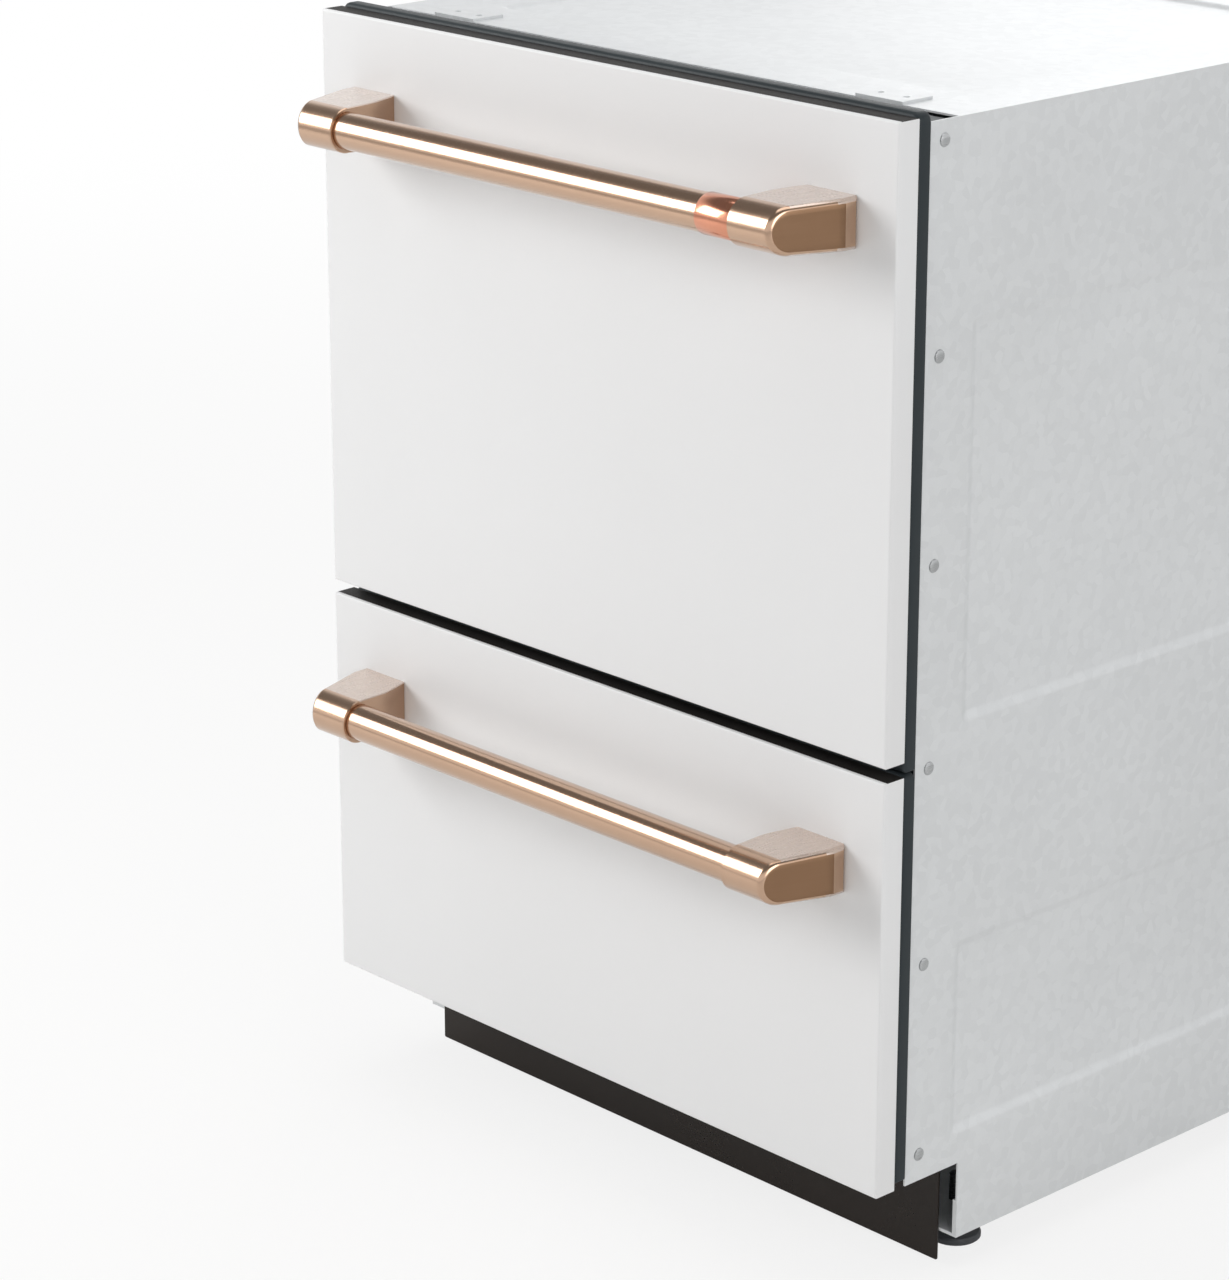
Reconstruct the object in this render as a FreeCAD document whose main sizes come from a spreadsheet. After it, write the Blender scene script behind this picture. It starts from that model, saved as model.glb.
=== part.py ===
import FreeCAD, Part
import os
import re

import Sketcher
from FreeCAD import Placement, Rotation, Vector

# A double drawer dishwasher: two front-loading drawers on telescopic slides in one steel chassis.
# Millimetres, +Z up, the drawers open towards -Y, and the origin is under the middle of the box
# that the whole appliance fills, on the floor.

doc = FreeCAD.newDocument("DrawerDishwasher")

# Driving dimensions

driving = {
    # how far a cutting shape runs past what it cuts
    "past": 1,
    # fronts
    "front_width": 598, "panel_thick": 20, "panel_edge_radius": 1.5,
    "lower_panel_bottom": 91.5, "lower_panel_height": 317.5, "panel_gap": 10.5, "upper_panel_height": 453.5,
    # inner door plates behind the panels
    "door_thick": 12, "door_inset": 0.5, "door_rise": 3, "door_drop": 8, "door_seam": 1.5,
    "door_foot_gap": 5, "door_corner_radius": 7, "rib_thick": 12, "rib_inset": 115,
    # handles
    "handle_drop": 73, "handle_axis": 52, "bar_radius": 14, "sleeve_radius": 17, "bracket_base_height": 37,
    "bracket_inset": 35, "bracket_base_width": 49, "bracket_straight": 12.5, "bracket_lean": 17,
    "bracket_length": 56.5, "bracket_chamfer": 3, "bar_insert": 20, "bar_end_gap": 0.5, "bar_clearance": 0.05,
    "stud_radius": 3, "stud_length": 14, "stud_clearance": 0.2, "band_length": 33, "band_thick": 0.8,
    "band_gap": 0.3,
    # chassis
    "body_depth": 575, "chassis_step": 4, "sheet_thick": 1.5, "chassis_gap": 3, "chassis_top_drop": 8,
    "tray_bottom": 28, "tray_thick": 2.5, "tray_lip": 30, "toe_recess": 90, "toe_thick": 2, "toe_height": 84,
    "toe_inset": 17, "toe_floor_gap": 4, "brace_height": 12, "brace_depth": 28, "brace_wall": 2,
    "brace_gap": 2, "service_height": 96, "screw_head_radius": 5, "screw_head_height": 1.6,
    "screw_rows": 6, "screw_inset": 14, "mount_plate_width": 44,
    "mount_plate_depth": 30, "mount_plate_thick": 2,
    "mount_inset": 75, "mount_hole_radius": 2.5, "mount_hole_spacing": 24,
    # levelling feet
    "foot_pad_radius": 20, "foot_pad_height": 6, "foot_stem_radius": 5, "foot_stem_top": 52,
    "foot_inset_x": 40, "foot_inset_y": 45, "foot_clearance": 0.08,
    # plumbing
    "valve_width": 46, "valve_depth": 40, "valve_height": 44, "valve_inset": 93.5, "inlet_radius": 13.2,
    "inlet_length": 18, "drain_radius": 9.5, "drain_length": 30, "spigot_wall": 2.5, "plumbing_inset": 12,
    # telescopic slides
    "rail_height": 45, "rail_wall": 2, "rail_front_gap": 10, "rail_back_gap": 20, "rail_drop": 60,
    "rail_overlap": 12, "rail_gap": 0.4, "rail_flange": 3, "rail_web": 3.5,
    "seat_length": 40, "seat_inset": 20, "seat_edge": 5,
    # tubs
    "tub_side_room": 33, "tub_front_gap": 30, "tub_back_gap": 58, "tub_wall": 4, "tub_corner_radius": 24,
    "rim_flange": 8, "rim_thick": 4, "lid_room": 34, "upper_tub_room": 135.5, "lower_tub_room": 117.5,
    # wash system
    "sump_radius": 98, "pump_flange": 8, "pump_flange_thick": 4, "bowl_radius": 90, "bowl_wall": 3.5,
    "bowl_depth": 64, "post_radius": 8, "post_rise": 29, "running_clearance": 0.08, "outlet_radius": 14,
    "outlet_length": 26, "outlet_root": 10, "filter_gap": 0.3, "filter_bore": 14, "filter_slots": 16,
    "filter_slot_width": 5, "filter_slot_start": 39, "filter_slot_length": 44, "grip_length": 26,
    "grip_thick": 5, "grip_height": 7, "grip_inset": 9, "hub_radius": 20, "hub_bottom": 12, "hub_top": 34,
    "post_room": 1, "arm_gap": 18.5, "arm_root": 24, "arm_tip": 13, "arm_raise": 2, "arm_thick": 12,
    "arm_tip_radius": 11.7, "nozzle_radius": 2.5, "nozzle_count": 4, "nozzle_end_gap": 18.6,
    "nozzle_offset": 3, "nozzle_depth": 4, "impeller_radius": 62, "impeller_height": 20, "impeller_disc": 3,
    "impeller_lift": 6, "impeller_hub": 16, "vane_count": 6, "vane_thick": 3, "vane_margin": 3,
    "vane_sink": 2, "vane_drop": 2,
    # lids
    "lid_thick": 12, "lid_lift": 6, "lid_spread": 2, "lid_border": 30, "lid_recess": 3, "seal_height": 5,
    "seal_width": 7, "seal_spread": 2, "seal_front_gap": 1, "lug_width": 24, "lug_reach": 16, "lug_inset": 40,
    "guide_radius": 4, "guide_thick": 6, "guide_gap": 3, "guide_side_gap": 2, "guide_reach": 8, "pin_sink": 1,
    # racks
    "rack_side_gap": 14, "rack_front_gap": 28, "rack_back_gap": 8, "rack_lift": 46, "rack_wire": 4,
    "rack_pitch": 41, "rack_bar": 8, "upper_rack_height": 140, "lower_rack_height": 95, "leg_size": 14,
    "tine_size": 4, "tine_count": 9, "tine_inset": 74, "tine_height": 72, "row_basket_gap": 34,
    "row_inset": 66, "row_end_gap": 6, "fold_place": 175, "shaft_radius": 2.5, "shaft_lift": 7,
    "pivot_block": 12, "pivot_width": 8, "pivot_rise": 14, "shelf_lift": 95, "shelf_width": 100,
    "shelf_inset": 18, "shelf_wall_gap": 8, "shelf_end_gap": 3, "basket_width": 92, "basket_inset": 60,
    "basket_height": 112, "basket_wall": 2.5, "basket_gap": 4, "basket_slot": 5, "basket_slots": 14,
    "basket_slot_foot": 14, "basket_slot_head": 16,
    # dispensers
    "dispenser_width": 160, "dispenser_height": 70, "dispenser_depth": 18, "dispenser_drop": 46,
    "cup_width": 60, "cup_height": 46, "cup_depth": 13, "cup_inset": 12, "slide_thick": 2.4,
    "slide_gap": 0.3, "slide_lip": 2.5, "slide_margin": 4,
    # control strips
    "strip_side_gap": 7, "strip_height": 30, "strip_gap": 2, "strip_drop": 2, "button_width": 24,
    "button_depth": 12, "button_height": 7, "button_rise": 1.5, "button_gap": 0.3, "button_room": 2.5,
    "button_spread": 60,
}

# Places worked out from the driving dimensions

derived = {
    "chassis_width": "front_width - 2 * chassis_step",
    "toe_width": "chassis_width - 2 * toe_inset",
    "bracket_base_out": "front_width / 2 - bracket_inset",
    "bracket_nose_out": "bracket_base_out - bracket_lean",
    "sleeve_inner_end": "bracket_base_out - bracket_length",
    "bar_end": "sleeve_inner_end + bar_insert - bar_end_gap",
    "stud_x": "bracket_base_out - bracket_base_width / 2",
    "front_y": "(handle_axis + sleeve_radius - body_depth) / 2",
    "door_y": "front_y + panel_thick",
    "door_back": "door_y + door_thick",
    "chassis_y": "door_back + chassis_gap",
    "back_y": "front_y + body_depth",
    "toe_y": "front_y + toe_recess",
    "tray_y": "toe_y + toe_thick",
    "tray_top": "tray_bottom + tray_thick",
    "lower_panel_top": "lower_panel_bottom + lower_panel_height",
    "upper_panel_bottom": "lower_panel_top + panel_gap",
    "upper_panel_top": "upper_panel_bottom + upper_panel_height",
    "upper_door_top": "upper_panel_top + door_rise",
    "upper_door_bottom": "upper_panel_bottom - door_drop",
    "lower_door_top": "upper_door_bottom - door_seam",
    "lower_door_bottom": "lower_panel_bottom + door_foot_gap",
    "chassis_top": "upper_door_top - chassis_top_drop",
    "chassis_inner": "chassis_width / 2 - sheet_thick",
    "toe_top": "toe_floor_gap + toe_height",
    "brace_bottom": "lower_door_top + brace_gap",
    "screw_spacing": "(chassis_top - service_height - 2 * screw_inset) / (screw_rows - 1)",
    "upper_handle_z": "upper_panel_top - handle_drop",
    "lower_handle_z": "lower_panel_top - handle_drop",
    "bracket_nose_y": "front_y - handle_axis",
    "tub_front": "door_back + tub_front_gap",
    "tub_back": "back_y - tub_back_gap",
    "tub_depth": "tub_back - tub_front",
    "tub_middle": "(tub_front + tub_back) / 2",
    "tub_half": "chassis_width / 2 - tub_side_room",
    "tub_width": "2 * tub_half",
    "upper_tub_height": "upper_panel_height - upper_tub_room",
    "lower_tub_height": "lower_panel_height - lower_tub_room",
    "upper_rim": "chassis_top - lid_room",
    "lower_rim": "lower_door_top - lid_room",
    "upper_tub_bottom": "upper_rim - upper_tub_height",
    "lower_tub_bottom": "lower_rim - lower_tub_height",
    "lid_half": "tub_half + rim_flange + lid_spread",
    "lid_bottom_rise": "lid_lift + seal_height",
    "rib_x": "chassis_width / 2 - rib_inset",
    "mount_x": "chassis_width / 2 - mount_inset",
    "valve_x": "chassis_inner - valve_inset",
    "arm_reach": "tub_depth / 2 - tub_wall - arm_gap",
    "strip_length": "chassis_width - 2 * strip_side_gap",
    "outer_web": "chassis_inner - rail_wall",
    "outer_lip": "chassis_inner - rail_overlap",
    "inner_web": "chassis_inner - 2 * rail_overlap - rail_gap",
    "rail_y": "chassis_y + rail_front_gap",
    "rail_length": "back_y - rail_back_gap - rail_y",
    "rack_half": "tub_half - tub_wall - rack_side_gap",
    "rack_front": "tub_front + tub_wall + rack_front_gap",
    "rack_back": "tub_back - tub_wall - rack_back_gap",
    "basket_right": "rack_half - rack_wire - basket_gap",
    "basket_left": "basket_right - basket_width",
    "tine_left": "-rack_half + tine_inset",
    "tine_right": "basket_left - row_basket_gap",
    "tine_pitch": "(tine_right - tine_left) / (tine_count - 1)",
}

sheet = doc.addObject("Spreadsheet::Sheet", "Sizes")
for row, (alias, value) in enumerate(driving.items(), start=1):
    sheet.set("A%d" % row, alias)
    sheet.set("B%d" % row, str(value))
    sheet.setAlias("B%d" % row, alias)

places = doc.addObject("Spreadsheet::Sheet", "Places")


def bound(text):
    """The expression with each name turned into its cell."""
    def cell(match):
        word = match.group(0)
        if word in driving:
            return "Sizes." + word
        if word in derived:
            return "Places." + word
        return word
    return re.sub(r"[a-z_]+", cell, text)


for row, (alias, text) in enumerate(derived.items(), start=1):
    places.set("A%d" % row, alias)
    places.set("B%d" % row, "=" + bound(text))
    places.setAlias("B%d" % row, alias)
doc.recompute()


def size(name):
    """The value of one cell, for shapes that are set directly."""
    return float(getattr(sheet if name in driving else places, name))


def bind(thing, prop, text):
    thing.setExpression(prop, bound(str(text)))


def put(thing, x=0, y=0, z=0):
    for axis, text in (("x", x), ("y", y), ("z", z)):
        bind(thing, "Placement.Base." + axis, text)
    return thing


# Building blocks

finished = []


def keep(thing, label):
    """Marks a sub-part: its label names its file."""
    thing.Label = label
    finished.append(thing)
    return thing


def block(name, length, width, height, x=0, y=0, z=0):
    thing = doc.addObject("Part::Box", name)
    bind(thing, "Length", length)
    bind(thing, "Width", width)
    bind(thing, "Height", height)
    return put(thing, x, y, z)


def rod(name, radius, height, x=0, y=0, z=0, along="z"):
    """A cylinder that starts at its place and runs along one axis."""
    thing = doc.addObject("Part::Cylinder", name)
    bind(thing, "Radius", radius)
    bind(thing, "Height", height)
    turns = {"z": Rotation(), "x": Rotation(Vector(0, 1, 0), 90), "y": Rotation(Vector(1, 0, 0), -90)}
    thing.Placement = Placement(Vector(), turns[along])
    return put(thing, x, y, z)


def joined(name, pieces):
    thing = doc.addObject("Part::MultiFuse", name)
    thing.Shapes = pieces
    thing.Refine = True
    return thing


def cut(name, base, tool):
    thing = doc.addObject("Part::Cut", name)
    thing.Base = base
    thing.Tool = tool
    return thing


def group(name, pieces):
    """Separate solids that share one node."""
    thing = doc.addObject("Part::Compound", name)
    thing.Links = pieces
    return thing


def flipped(thing):
    """The same piece on the other side of the middle plane."""
    twin = doc.addObject("Part::Mirroring", thing.Name + "_twin")
    twin.Source = thing
    twin.Normal = Vector(1, 0, 0)
    return twin


def pair(name, thing):
    return group(name, [thing, flipped(thing)])


def rounded(name, base, radius, picks):
    """Fillets the edges of a piece that picks() chooses."""
    doc.recompute()
    thing = doc.addObject("Part::Fillet", name)
    thing.Base = base
    numbers = [i for i, edge in enumerate(base.Shape.Edges, start=1) if picks(edge)]
    thing.Edges = [(number, size(radius), size(radius)) for number in numbers]
    return thing


near = 0.05    # two places closer than this are the same


def upright(edge):
    ends = edge.Vertexes
    return len(ends) == 2 and abs(ends[0].X - ends[1].X) + abs(ends[0].Y - ends[1].Y) < near


def shaped(name, shape):
    """A piece whose shape is worked out from the cells directly."""
    thing = doc.addObject("Part::Feature", name)
    thing.Shape = shape
    return thing


def solidBox(low, high):
    return Part.makeBox(high[0] - low[0], high[1] - low[1], high[2] - low[2], Vector(*low))


# Sketched bodies

def newBody(name):
    return doc.addObject("PartDesign::Body", name)


def newSketch(body, name, role):
    sketch = body.newObject("Sketcher::SketchObject", name)
    plane = [f for f in body.Origin.OriginFeatures if f.Role == role][0]
    sketch.AttachmentSupport = [(plane, "")]
    sketch.MapMode = "FlatFace"
    return sketch


guess = 10    # where sketched lines start, before their constraints place them


def outlined(sketch, corners):
    """Straight lines from corner to corner, joined and kept level or upright in turn."""
    count = len(corners)
    for i, (a, b) in enumerate(zip(corners, corners[1:] + corners[:1])):
        sketch.addGeometry(Part.LineSegment(Vector(a[0], a[1], 0), Vector(b[0], b[1], 0)), False)
        sketch.addConstraint(Sketcher.Constraint("Vertical" if i % 2 else "Horizontal", i))
    for i in range(count):
        sketch.addConstraint(Sketcher.Constraint("Coincident", i, 2, (i + 1) % count, 1))


def measured(sketch, kind, ends, length, cell):
    """A distance or radius between two sketched points that follows a cell."""
    index = sketch.addConstraint(Sketcher.Constraint(kind, *ends, length))
    bind(sketch, "Constraints[%d]" % index, cell)


def rectangle(sketch, across, along):
    """A rectangle of bound sizes, centred on the sketch's origin."""
    outlined(sketch, [(-guess, -guess), (guess, -guess), (guess, guess), (-guess, guess)])
    sketch.addConstraint(Sketcher.Constraint("Symmetric", 0, 1, 2, 1, -1, 1))
    measured(sketch, "DistanceX", (0, 1, 0, 2), 2 * guess, across)
    measured(sketch, "DistanceY", (1, 1, 1, 2), 2 * guess, along)


def circle(sketch, radius):
    number = sketch.addGeometry(Part.Circle(Vector(0, 0, 0), Vector(0, 0, 1), guess), False)
    sketch.addConstraint(Sketcher.Constraint("Coincident", number, 3, -1, 1))
    measured(sketch, "Radius", (number,), guess, radius)


def pad(body, sketch, length):
    feature = body.newObject("PartDesign::Pad", body.Name + "_pad")
    feature.Profile = sketch
    bind(feature, "Length", length)
    sketch.Visibility = False
    body.Tip = feature
    return feature


def bodyFillet(body, feature, radius, picks):
    doc.recompute()
    names = ["Edge%d" % i for i, edge in enumerate(feature.Shape.Edges, start=1) if picks(edge)]
    fillet = body.newObject("PartDesign::Fillet", body.Name + "_fillet_" + radius)
    fillet.Base = (feature, names)
    bind(fillet, "Radius", radius)
    body.Tip = fillet
    return fillet


# Fronts: a flat panel with slightly eased upright front edges, on a dark door plate

def frontPanel(side, bottom, height):
    body = newBody(side + "_front_panel")
    outline = newSketch(body, side + "_panel_outline", "XZ_Plane")
    rectangle(outline, "front_width", height)
    slab = pad(body, outline, "panel_thick")
    holes = newSketch(body, side + "_panel_stud_holes", "XZ_Plane")
    for sign in (-1, 1):
        number = holes.addGeometry(Part.Circle(Vector(sign * guess, guess, 0), Vector(0, 0, 1), 1), False)
        measured(holes, "Radius", (number,), 1, "stud_radius + stud_clearance")
        measured(holes, "DistanceY", (-1, 1, number, 3), guess, height + " / 2 - handle_drop")
        ends = (-1, 1, number, 3) if sign > 0 else (number, 3, -1, 1)
        measured(holes, "DistanceX", ends, guess, "stud_x")
    pocket = body.newObject("PartDesign::Pocket", body.Name + "_stud_pocket")
    pocket.Profile = holes
    pocket.Type = "ThroughAll"
    pocket.Reversed = True
    body.Tip = pocket

    def frontUpright(edge):
        place = edge.Vertexes[0].Point
        at_side = abs(place.x) > size("front_width") / 2 - near
        return upright(edge) and at_side and place.y < near - size("panel_thick")
    bodyFillet(body, pocket, "panel_edge_radius", frontUpright)
    put(body, 0, "door_y", "%s + %s / 2" % (bottom, height))
    return keep(body, side + "_front_panel")


def innerDoor(side, bottom, top):
    """A plate with rounded top corners and eased front edges, with two ribs that carry the tub."""
    body = newBody(side + "_door_plate")
    outline = newSketch(body, side + "_door_outline", "XZ_Plane")
    rectangle(outline, "front_width - 2 * door_inset", "%s - %s" % (top, bottom))
    plate = pad(body, outline, "door_thick")

    def topCorner(edge):
        return edge.Length < size("door_thick") + near and edge.CenterOfMass.z > 0
    bodyFillet(body, plate, "door_corner_radius", topCorner)
    put(body, 0, "door_back", "(%s + %s) / 2" % (bottom, top))
    ribs = []
    for sign, tag in ((-1, "left"), (1, "right")):
        ribs.append(block("%s_rib_%s" % (side, tag), "rib_thick", "tub_front_gap",
                          "%s_tub_height - strip_height" % side,
                          "%d * rib_x - rib_thick / 2" % sign, "door_back", side + "_tub_bottom"))
    return keep(joined(side + "_inner_door_solid", [body] + ribs), side + "_inner_door")


# Handles: a round bar between two cast brackets that lean inwards

def bracketShape(sign):
    """Plan outline and side profile crossed, with the end plate's edges bevelled."""
    nose = size("handle_axis") + size("sleeve_radius")
    outer, straight = size("bracket_base_out"), size("bracket_straight")
    inner = size("sleeve_inner_end")
    lean = size("bracket_lean") / (nose - straight)
    plan = [(outer - size("bracket_base_width"), 0), (outer, 0), (outer, -straight),
            (size("bracket_nose_out"), -nose), (inner, -nose), (inner, -size("handle_axis") / 2)]
    half = size("bracket_base_height") / 2
    wire = Part.makePolygon([Vector(x, y, -half) for x, y in plan + plan[:1]])
    planned = Part.Face(wire).extrude(Vector(0, 0, 2 * half))
    round_y = -size("handle_axis")
    radius = size("sleeve_radius")
    reach = outer + size("past")
    edges = [Part.LineSegment(Vector(0, 0, half), Vector(0, round_y, radius)).toShape(),
             Part.Arc(Vector(0, round_y, radius), Vector(0, round_y - radius, 0),
                      Vector(0, round_y, -radius)).toShape(),
             Part.LineSegment(Vector(0, round_y, -radius), Vector(0, 0, -half)).toShape(),
             Part.LineSegment(Vector(0, 0, -half), Vector(0, 0, half)).toShape()]
    profiled = Part.Face(Part.Wire(edges)).extrude(Vector(reach, 0, 0))
    solid = planned.common(profiled)
    solid = solid.Solids[0] if solid.Solids else solid

    def outerEdge(edge):
        middle = edge.valueAt((edge.FirstParameter + edge.LastParameter) / 2)
        leaning = outer - lean * max(0, -middle.y - straight)
        return abs(middle.x - leaning) < near and middle.y < -near and not upright(edge)
    bevels = [edge for edge in solid.Edges if outerEdge(edge)]
    solid = solid.makeChamfer(size("bracket_chamfer"), bevels)
    bore = Part.makeCylinder(size("bar_radius") + size("bar_clearance"), size("bar_insert"),
                             Vector(inner, round_y, 0), Vector(1, 0, 0))
    stud = Part.makeCylinder(size("stud_radius"), size("stud_length"), Vector(size("stud_x"), 0, 0),
                             Vector(0, 1, 0))
    solid = solid.cut(bore).fuse(stud).removeSplitter()
    solid = solid.Solids[0]
    return solid if sign > 0 else solid.mirror(Vector(), Vector(1, 0, 0))


def handle(side):
    level = side + "_handle_z"
    body = newBody(side + "_handle_bar")
    outline = newSketch(body, side + "_bar_outline", "YZ_Plane")
    circle(outline, "bar_radius")
    pad(body, outline, "2 * bar_end")
    put(body, "-bar_end", "bracket_nose_y", level)
    keep(body, side + "_handle_bar")
    brackets = []
    for sign, tag in ((-1, "left"), (1, "right")):
        bracket = shaped("%s_bracket_%s" % (side, tag), bracketShape(sign))
        brackets.append(put(bracket, 0, "front_y", level))
    keep(group(side + "_bracket_pair", brackets), side + "_handle_brackets")


def band():
    """The sleeve of thin sheet on the upper bar, beside its right bracket."""
    start = "sleeve_inner_end - band_length - band_gap"
    outer = rod("band_outer", "bar_radius + band_thick", "band_length", start, "bracket_nose_y",
                "upper_handle_z", "x")
    inner = rod("band_inner", "bar_radius + bar_clearance", "band_length + 2 * past", start + " - past",
                "bracket_nose_y", "upper_handle_z", "x")
    keep(cut("band_cut", outer, inner), "upper_handle_band")


frontPanel("upper", "upper_panel_bottom", "upper_panel_height")
frontPanel("lower", "lower_panel_bottom", "lower_panel_height")
innerDoor("upper", "upper_door_bottom", "upper_door_top")
innerDoor("lower", "lower_door_bottom", "lower_door_top")
handle("upper")
handle("lower")
band()


# Chassis: folded steel sheets

def chassis():
    for sign, tag in ((-1, "left"), (1, "right")):
        outer_x = "-chassis_width / 2" if sign < 0 else "chassis_inner"
        sheet_piece = block("side_%s" % tag, "sheet_thick", "back_y - chassis_y", "chassis_top - tray_bottom",
                            outer_x, "chassis_y", "tray_bottom")
        notch = block("side_%s_notch" % tag, "sheet_thick + 2 * past", "tray_y - chassis_y + past",
                      "toe_top - tray_bottom + past", outer_x + " - past", "chassis_y - past",
                      "tray_bottom - past")
        keep(cut("side_%s_cut" % tag, sheet_piece, notch), "side_panel_" + tag)
    keep(block("back", "2 * chassis_inner", "sheet_thick", "chassis_top - sheet_thick - service_height",
               "-chassis_inner", "back_y - sheet_thick", "service_height"), "back_panel")
    keep(block("top", "2 * chassis_inner", "back_y - tub_front - strip_gap", "sheet_thick",
               "-chassis_inner", "tub_front + strip_gap", "chassis_top - sheet_thick"), "top_panel")
    floor = block("tray_floor", "2 * chassis_inner", "back_y - tray_y", "tray_thick",
                  "-chassis_inner", "tray_y", "tray_bottom")
    lips = []
    for tag, x in (("left", "-chassis_inner"), ("right", "chassis_inner - tray_thick")):
        lips.append(block("tray_lip_" + tag, "tray_thick", "back_y - tray_y", "tray_lip", x, "tray_y",
                          "tray_bottom"))
    holes = [rod("tray_hole_%s_%s" % (back, side), "foot_stem_radius + foot_clearance",
                 "tray_thick + 2 * past", x, y, "tray_bottom - past") for back, side, x, y in footPlaces()]
    keep(cut("tray_cut", joined("tray_solid", [floor] + lips), group("tray_holes", holes)), "base_tray")
    tube = block("brace_outer", "2 * chassis_inner", "brace_depth", "brace_height", "-chassis_inner",
                 "chassis_y", "brace_bottom")
    bore = block("brace_inner", "2 * (chassis_inner + past)", "brace_depth - 2 * brace_wall",
                 "brace_height - 2 * brace_wall", "-chassis_inner - past", "chassis_y + brace_wall",
                 "brace_bottom + brace_wall")
    keep(cut("brace_cut", tube, bore), "middle_brace")
    keep(block("kick", "toe_width", "toe_thick", "toe_height", "-toe_width / 2", "toe_y", "toe_floor_gap"),
         "toe_kick")


def footPlaces():
    """Front and back, left and right: each foot's tags and the place of its stem."""
    for back, y in (("front", "tray_y + foot_inset_y"), ("back", "back_y - foot_inset_y")):
        for side, x in (("left", "-chassis_inner + foot_inset_x"), ("right", "chassis_inner - foot_inset_x")):
            yield back, side, x, y


def foot(back, side, x, y):
    """A turned pad and stem, revolved from half its section."""
    body = newBody("foot_body_%s_%s" % (back, side))
    profile = newSketch(body, "foot_profile_%s_%s" % (back, side), "XZ_Plane")
    pad_radius, pad_height = size("foot_pad_radius"), size("foot_pad_height")
    stem_radius, stem_top = size("foot_stem_radius"), size("foot_stem_top")
    outlined(profile, [(0, 0), (pad_radius, 0), (pad_radius, pad_height), (stem_radius, pad_height),
                       (stem_radius, stem_top), (0, stem_top)])
    profile.addConstraint(Sketcher.Constraint("Coincident", 0, 1, -1, 1))
    measured(profile, "DistanceX", (0, 1, 0, 2), pad_radius, "foot_pad_radius")
    measured(profile, "DistanceY", (1, 1, 1, 2), pad_height, "foot_pad_height")
    measured(profile, "DistanceX", (-1, 1, 3, 1), stem_radius, "foot_stem_radius")
    measured(profile, "DistanceY", (-1, 1, 4, 2), stem_top, "foot_stem_top")
    turned = body.newObject("PartDesign::Revolution", body.Name + "_turned")
    turned.Profile = profile
    turned.ReferenceAxis = (profile, ["V_Axis"])
    turned.Angle = 360
    body.Tip = turned
    put(body, x, y, 0)
    keep(body, "foot_%s_%s" % (back, side))


def mountingBrackets():
    """Two plates on the top, near its front edge, for screws into a worktop above."""
    plates = []
    for sign, tag in ((-1, "left"), (1, "right")):
        middle = "%d * mount_x" % sign
        plate = block("mount_%s" % tag, "mount_plate_width", "mount_plate_depth", "mount_plate_thick",
                      middle + " - mount_plate_width / 2", "tub_front + strip_gap", "chassis_top")
        drills = [rod("mount_%s_hole_%d" % (tag, i), "mount_hole_radius", "mount_plate_thick + 2 * past",
                      "%s + %d * mount_hole_spacing / 2" % (middle, i),
                      "tub_front + strip_gap + mount_plate_depth / 2", "chassis_top - past") for i in (-1, 1)]
        plates.append(cut("mount_%s_cut" % tag, plate, group("mount_%s_holes" % tag, drills)))
    keep(group("mount_pair", plates), "mounting_brackets")


def screws():
    """Domed screw heads on both side panels: up the back edge, along the brace and at the tray's lip."""
    rows = range(int(size("screw_rows")))
    spots = [("back_%d" % row, "back_y - screw_inset",
              "service_height + screw_inset + %d * screw_spacing" % row) for row in rows]
    spots += [("brace", "chassis_y + brace_depth / 2", "brace_bottom + brace_height / 2"),
              ("tray_front", "tray_y + 2 * screw_inset", "tray_bottom + tray_lip - screw_inset / 2"),
              ("tray_back", "back_y - 3 * screw_inset", "tray_bottom + tray_lip - screw_inset / 2")]
    heads = []
    for tag, y, z in spots:
        for sign, side in ((-1, "left"), (1, "right")):
            start = "chassis_width / 2" if sign > 0 else "-chassis_width / 2 - screw_head_height"
            heads.append(rod("screw_%s_%s" % (tag, side), "screw_head_radius", "screw_head_height",
                             start, y, z, "x"))
    return heads


def plumbing():
    low = "tray_top"
    back = "back_y - plumbing_inset - inlet_length"
    housing = block("valve_housing", "valve_width", "valve_depth", "valve_height",
                    "-valve_x - valve_width / 2", back + " - valve_depth", low)
    middle = "tray_top + valve_height / 2"
    spigot = rod("valve_spigot", "inlet_radius", "inlet_length", "-valve_x", back, middle, "y")
    bore = rod("valve_bore", "inlet_radius - spigot_wall", "inlet_length + past", "-valve_x", back, middle,
               "y")
    keep(cut("valve_cut", joined("valve_solid", [housing, spigot]), bore), "inlet_valve")
    base = "back_y - plumbing_inset - drain_length"
    manifold = block("drain_housing", "valve_width", "valve_depth", "valve_height",
                     "valve_x - valve_width / 2", base + " - valve_depth", low)
    pipe = rod("drain_pipe", "drain_radius", "drain_length", "valve_x", base, middle, "y")
    hollow = rod("drain_bore", "drain_radius - spigot_wall", "drain_length + past", "valve_x", base, middle,
                 "y")
    keep(cut("drain_cut", joined("drain_solid", [manifold, pipe]), hollow), "drain_spigot")


chassis()
for place in footPlaces():
    foot(*place)
mountingBrackets()
plumbing()


# Telescopic slides: an outer channel on the chassis, a carriage and an inner channel on the tub

def railCentre(side):
    return "%s_rim - rail_drop" % side


def channel(name, side, web_x, flange_x):
    """A C-shaped rail: one web and two flanges."""
    bottom = railCentre(side) + " - rail_height / 2"
    pieces = [block(name + "_web", "rail_wall", "rail_length", "rail_height", web_x, "rail_y", bottom)]
    for tag, z in (("low", bottom), ("high", railCentre(side) + " + rail_height / 2 - rail_wall")):
        pieces.append(block("%s_%s" % (name, tag), "rail_overlap", "rail_length", "rail_wall", flange_x,
                            "rail_y", z))
    return pieces


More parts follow.
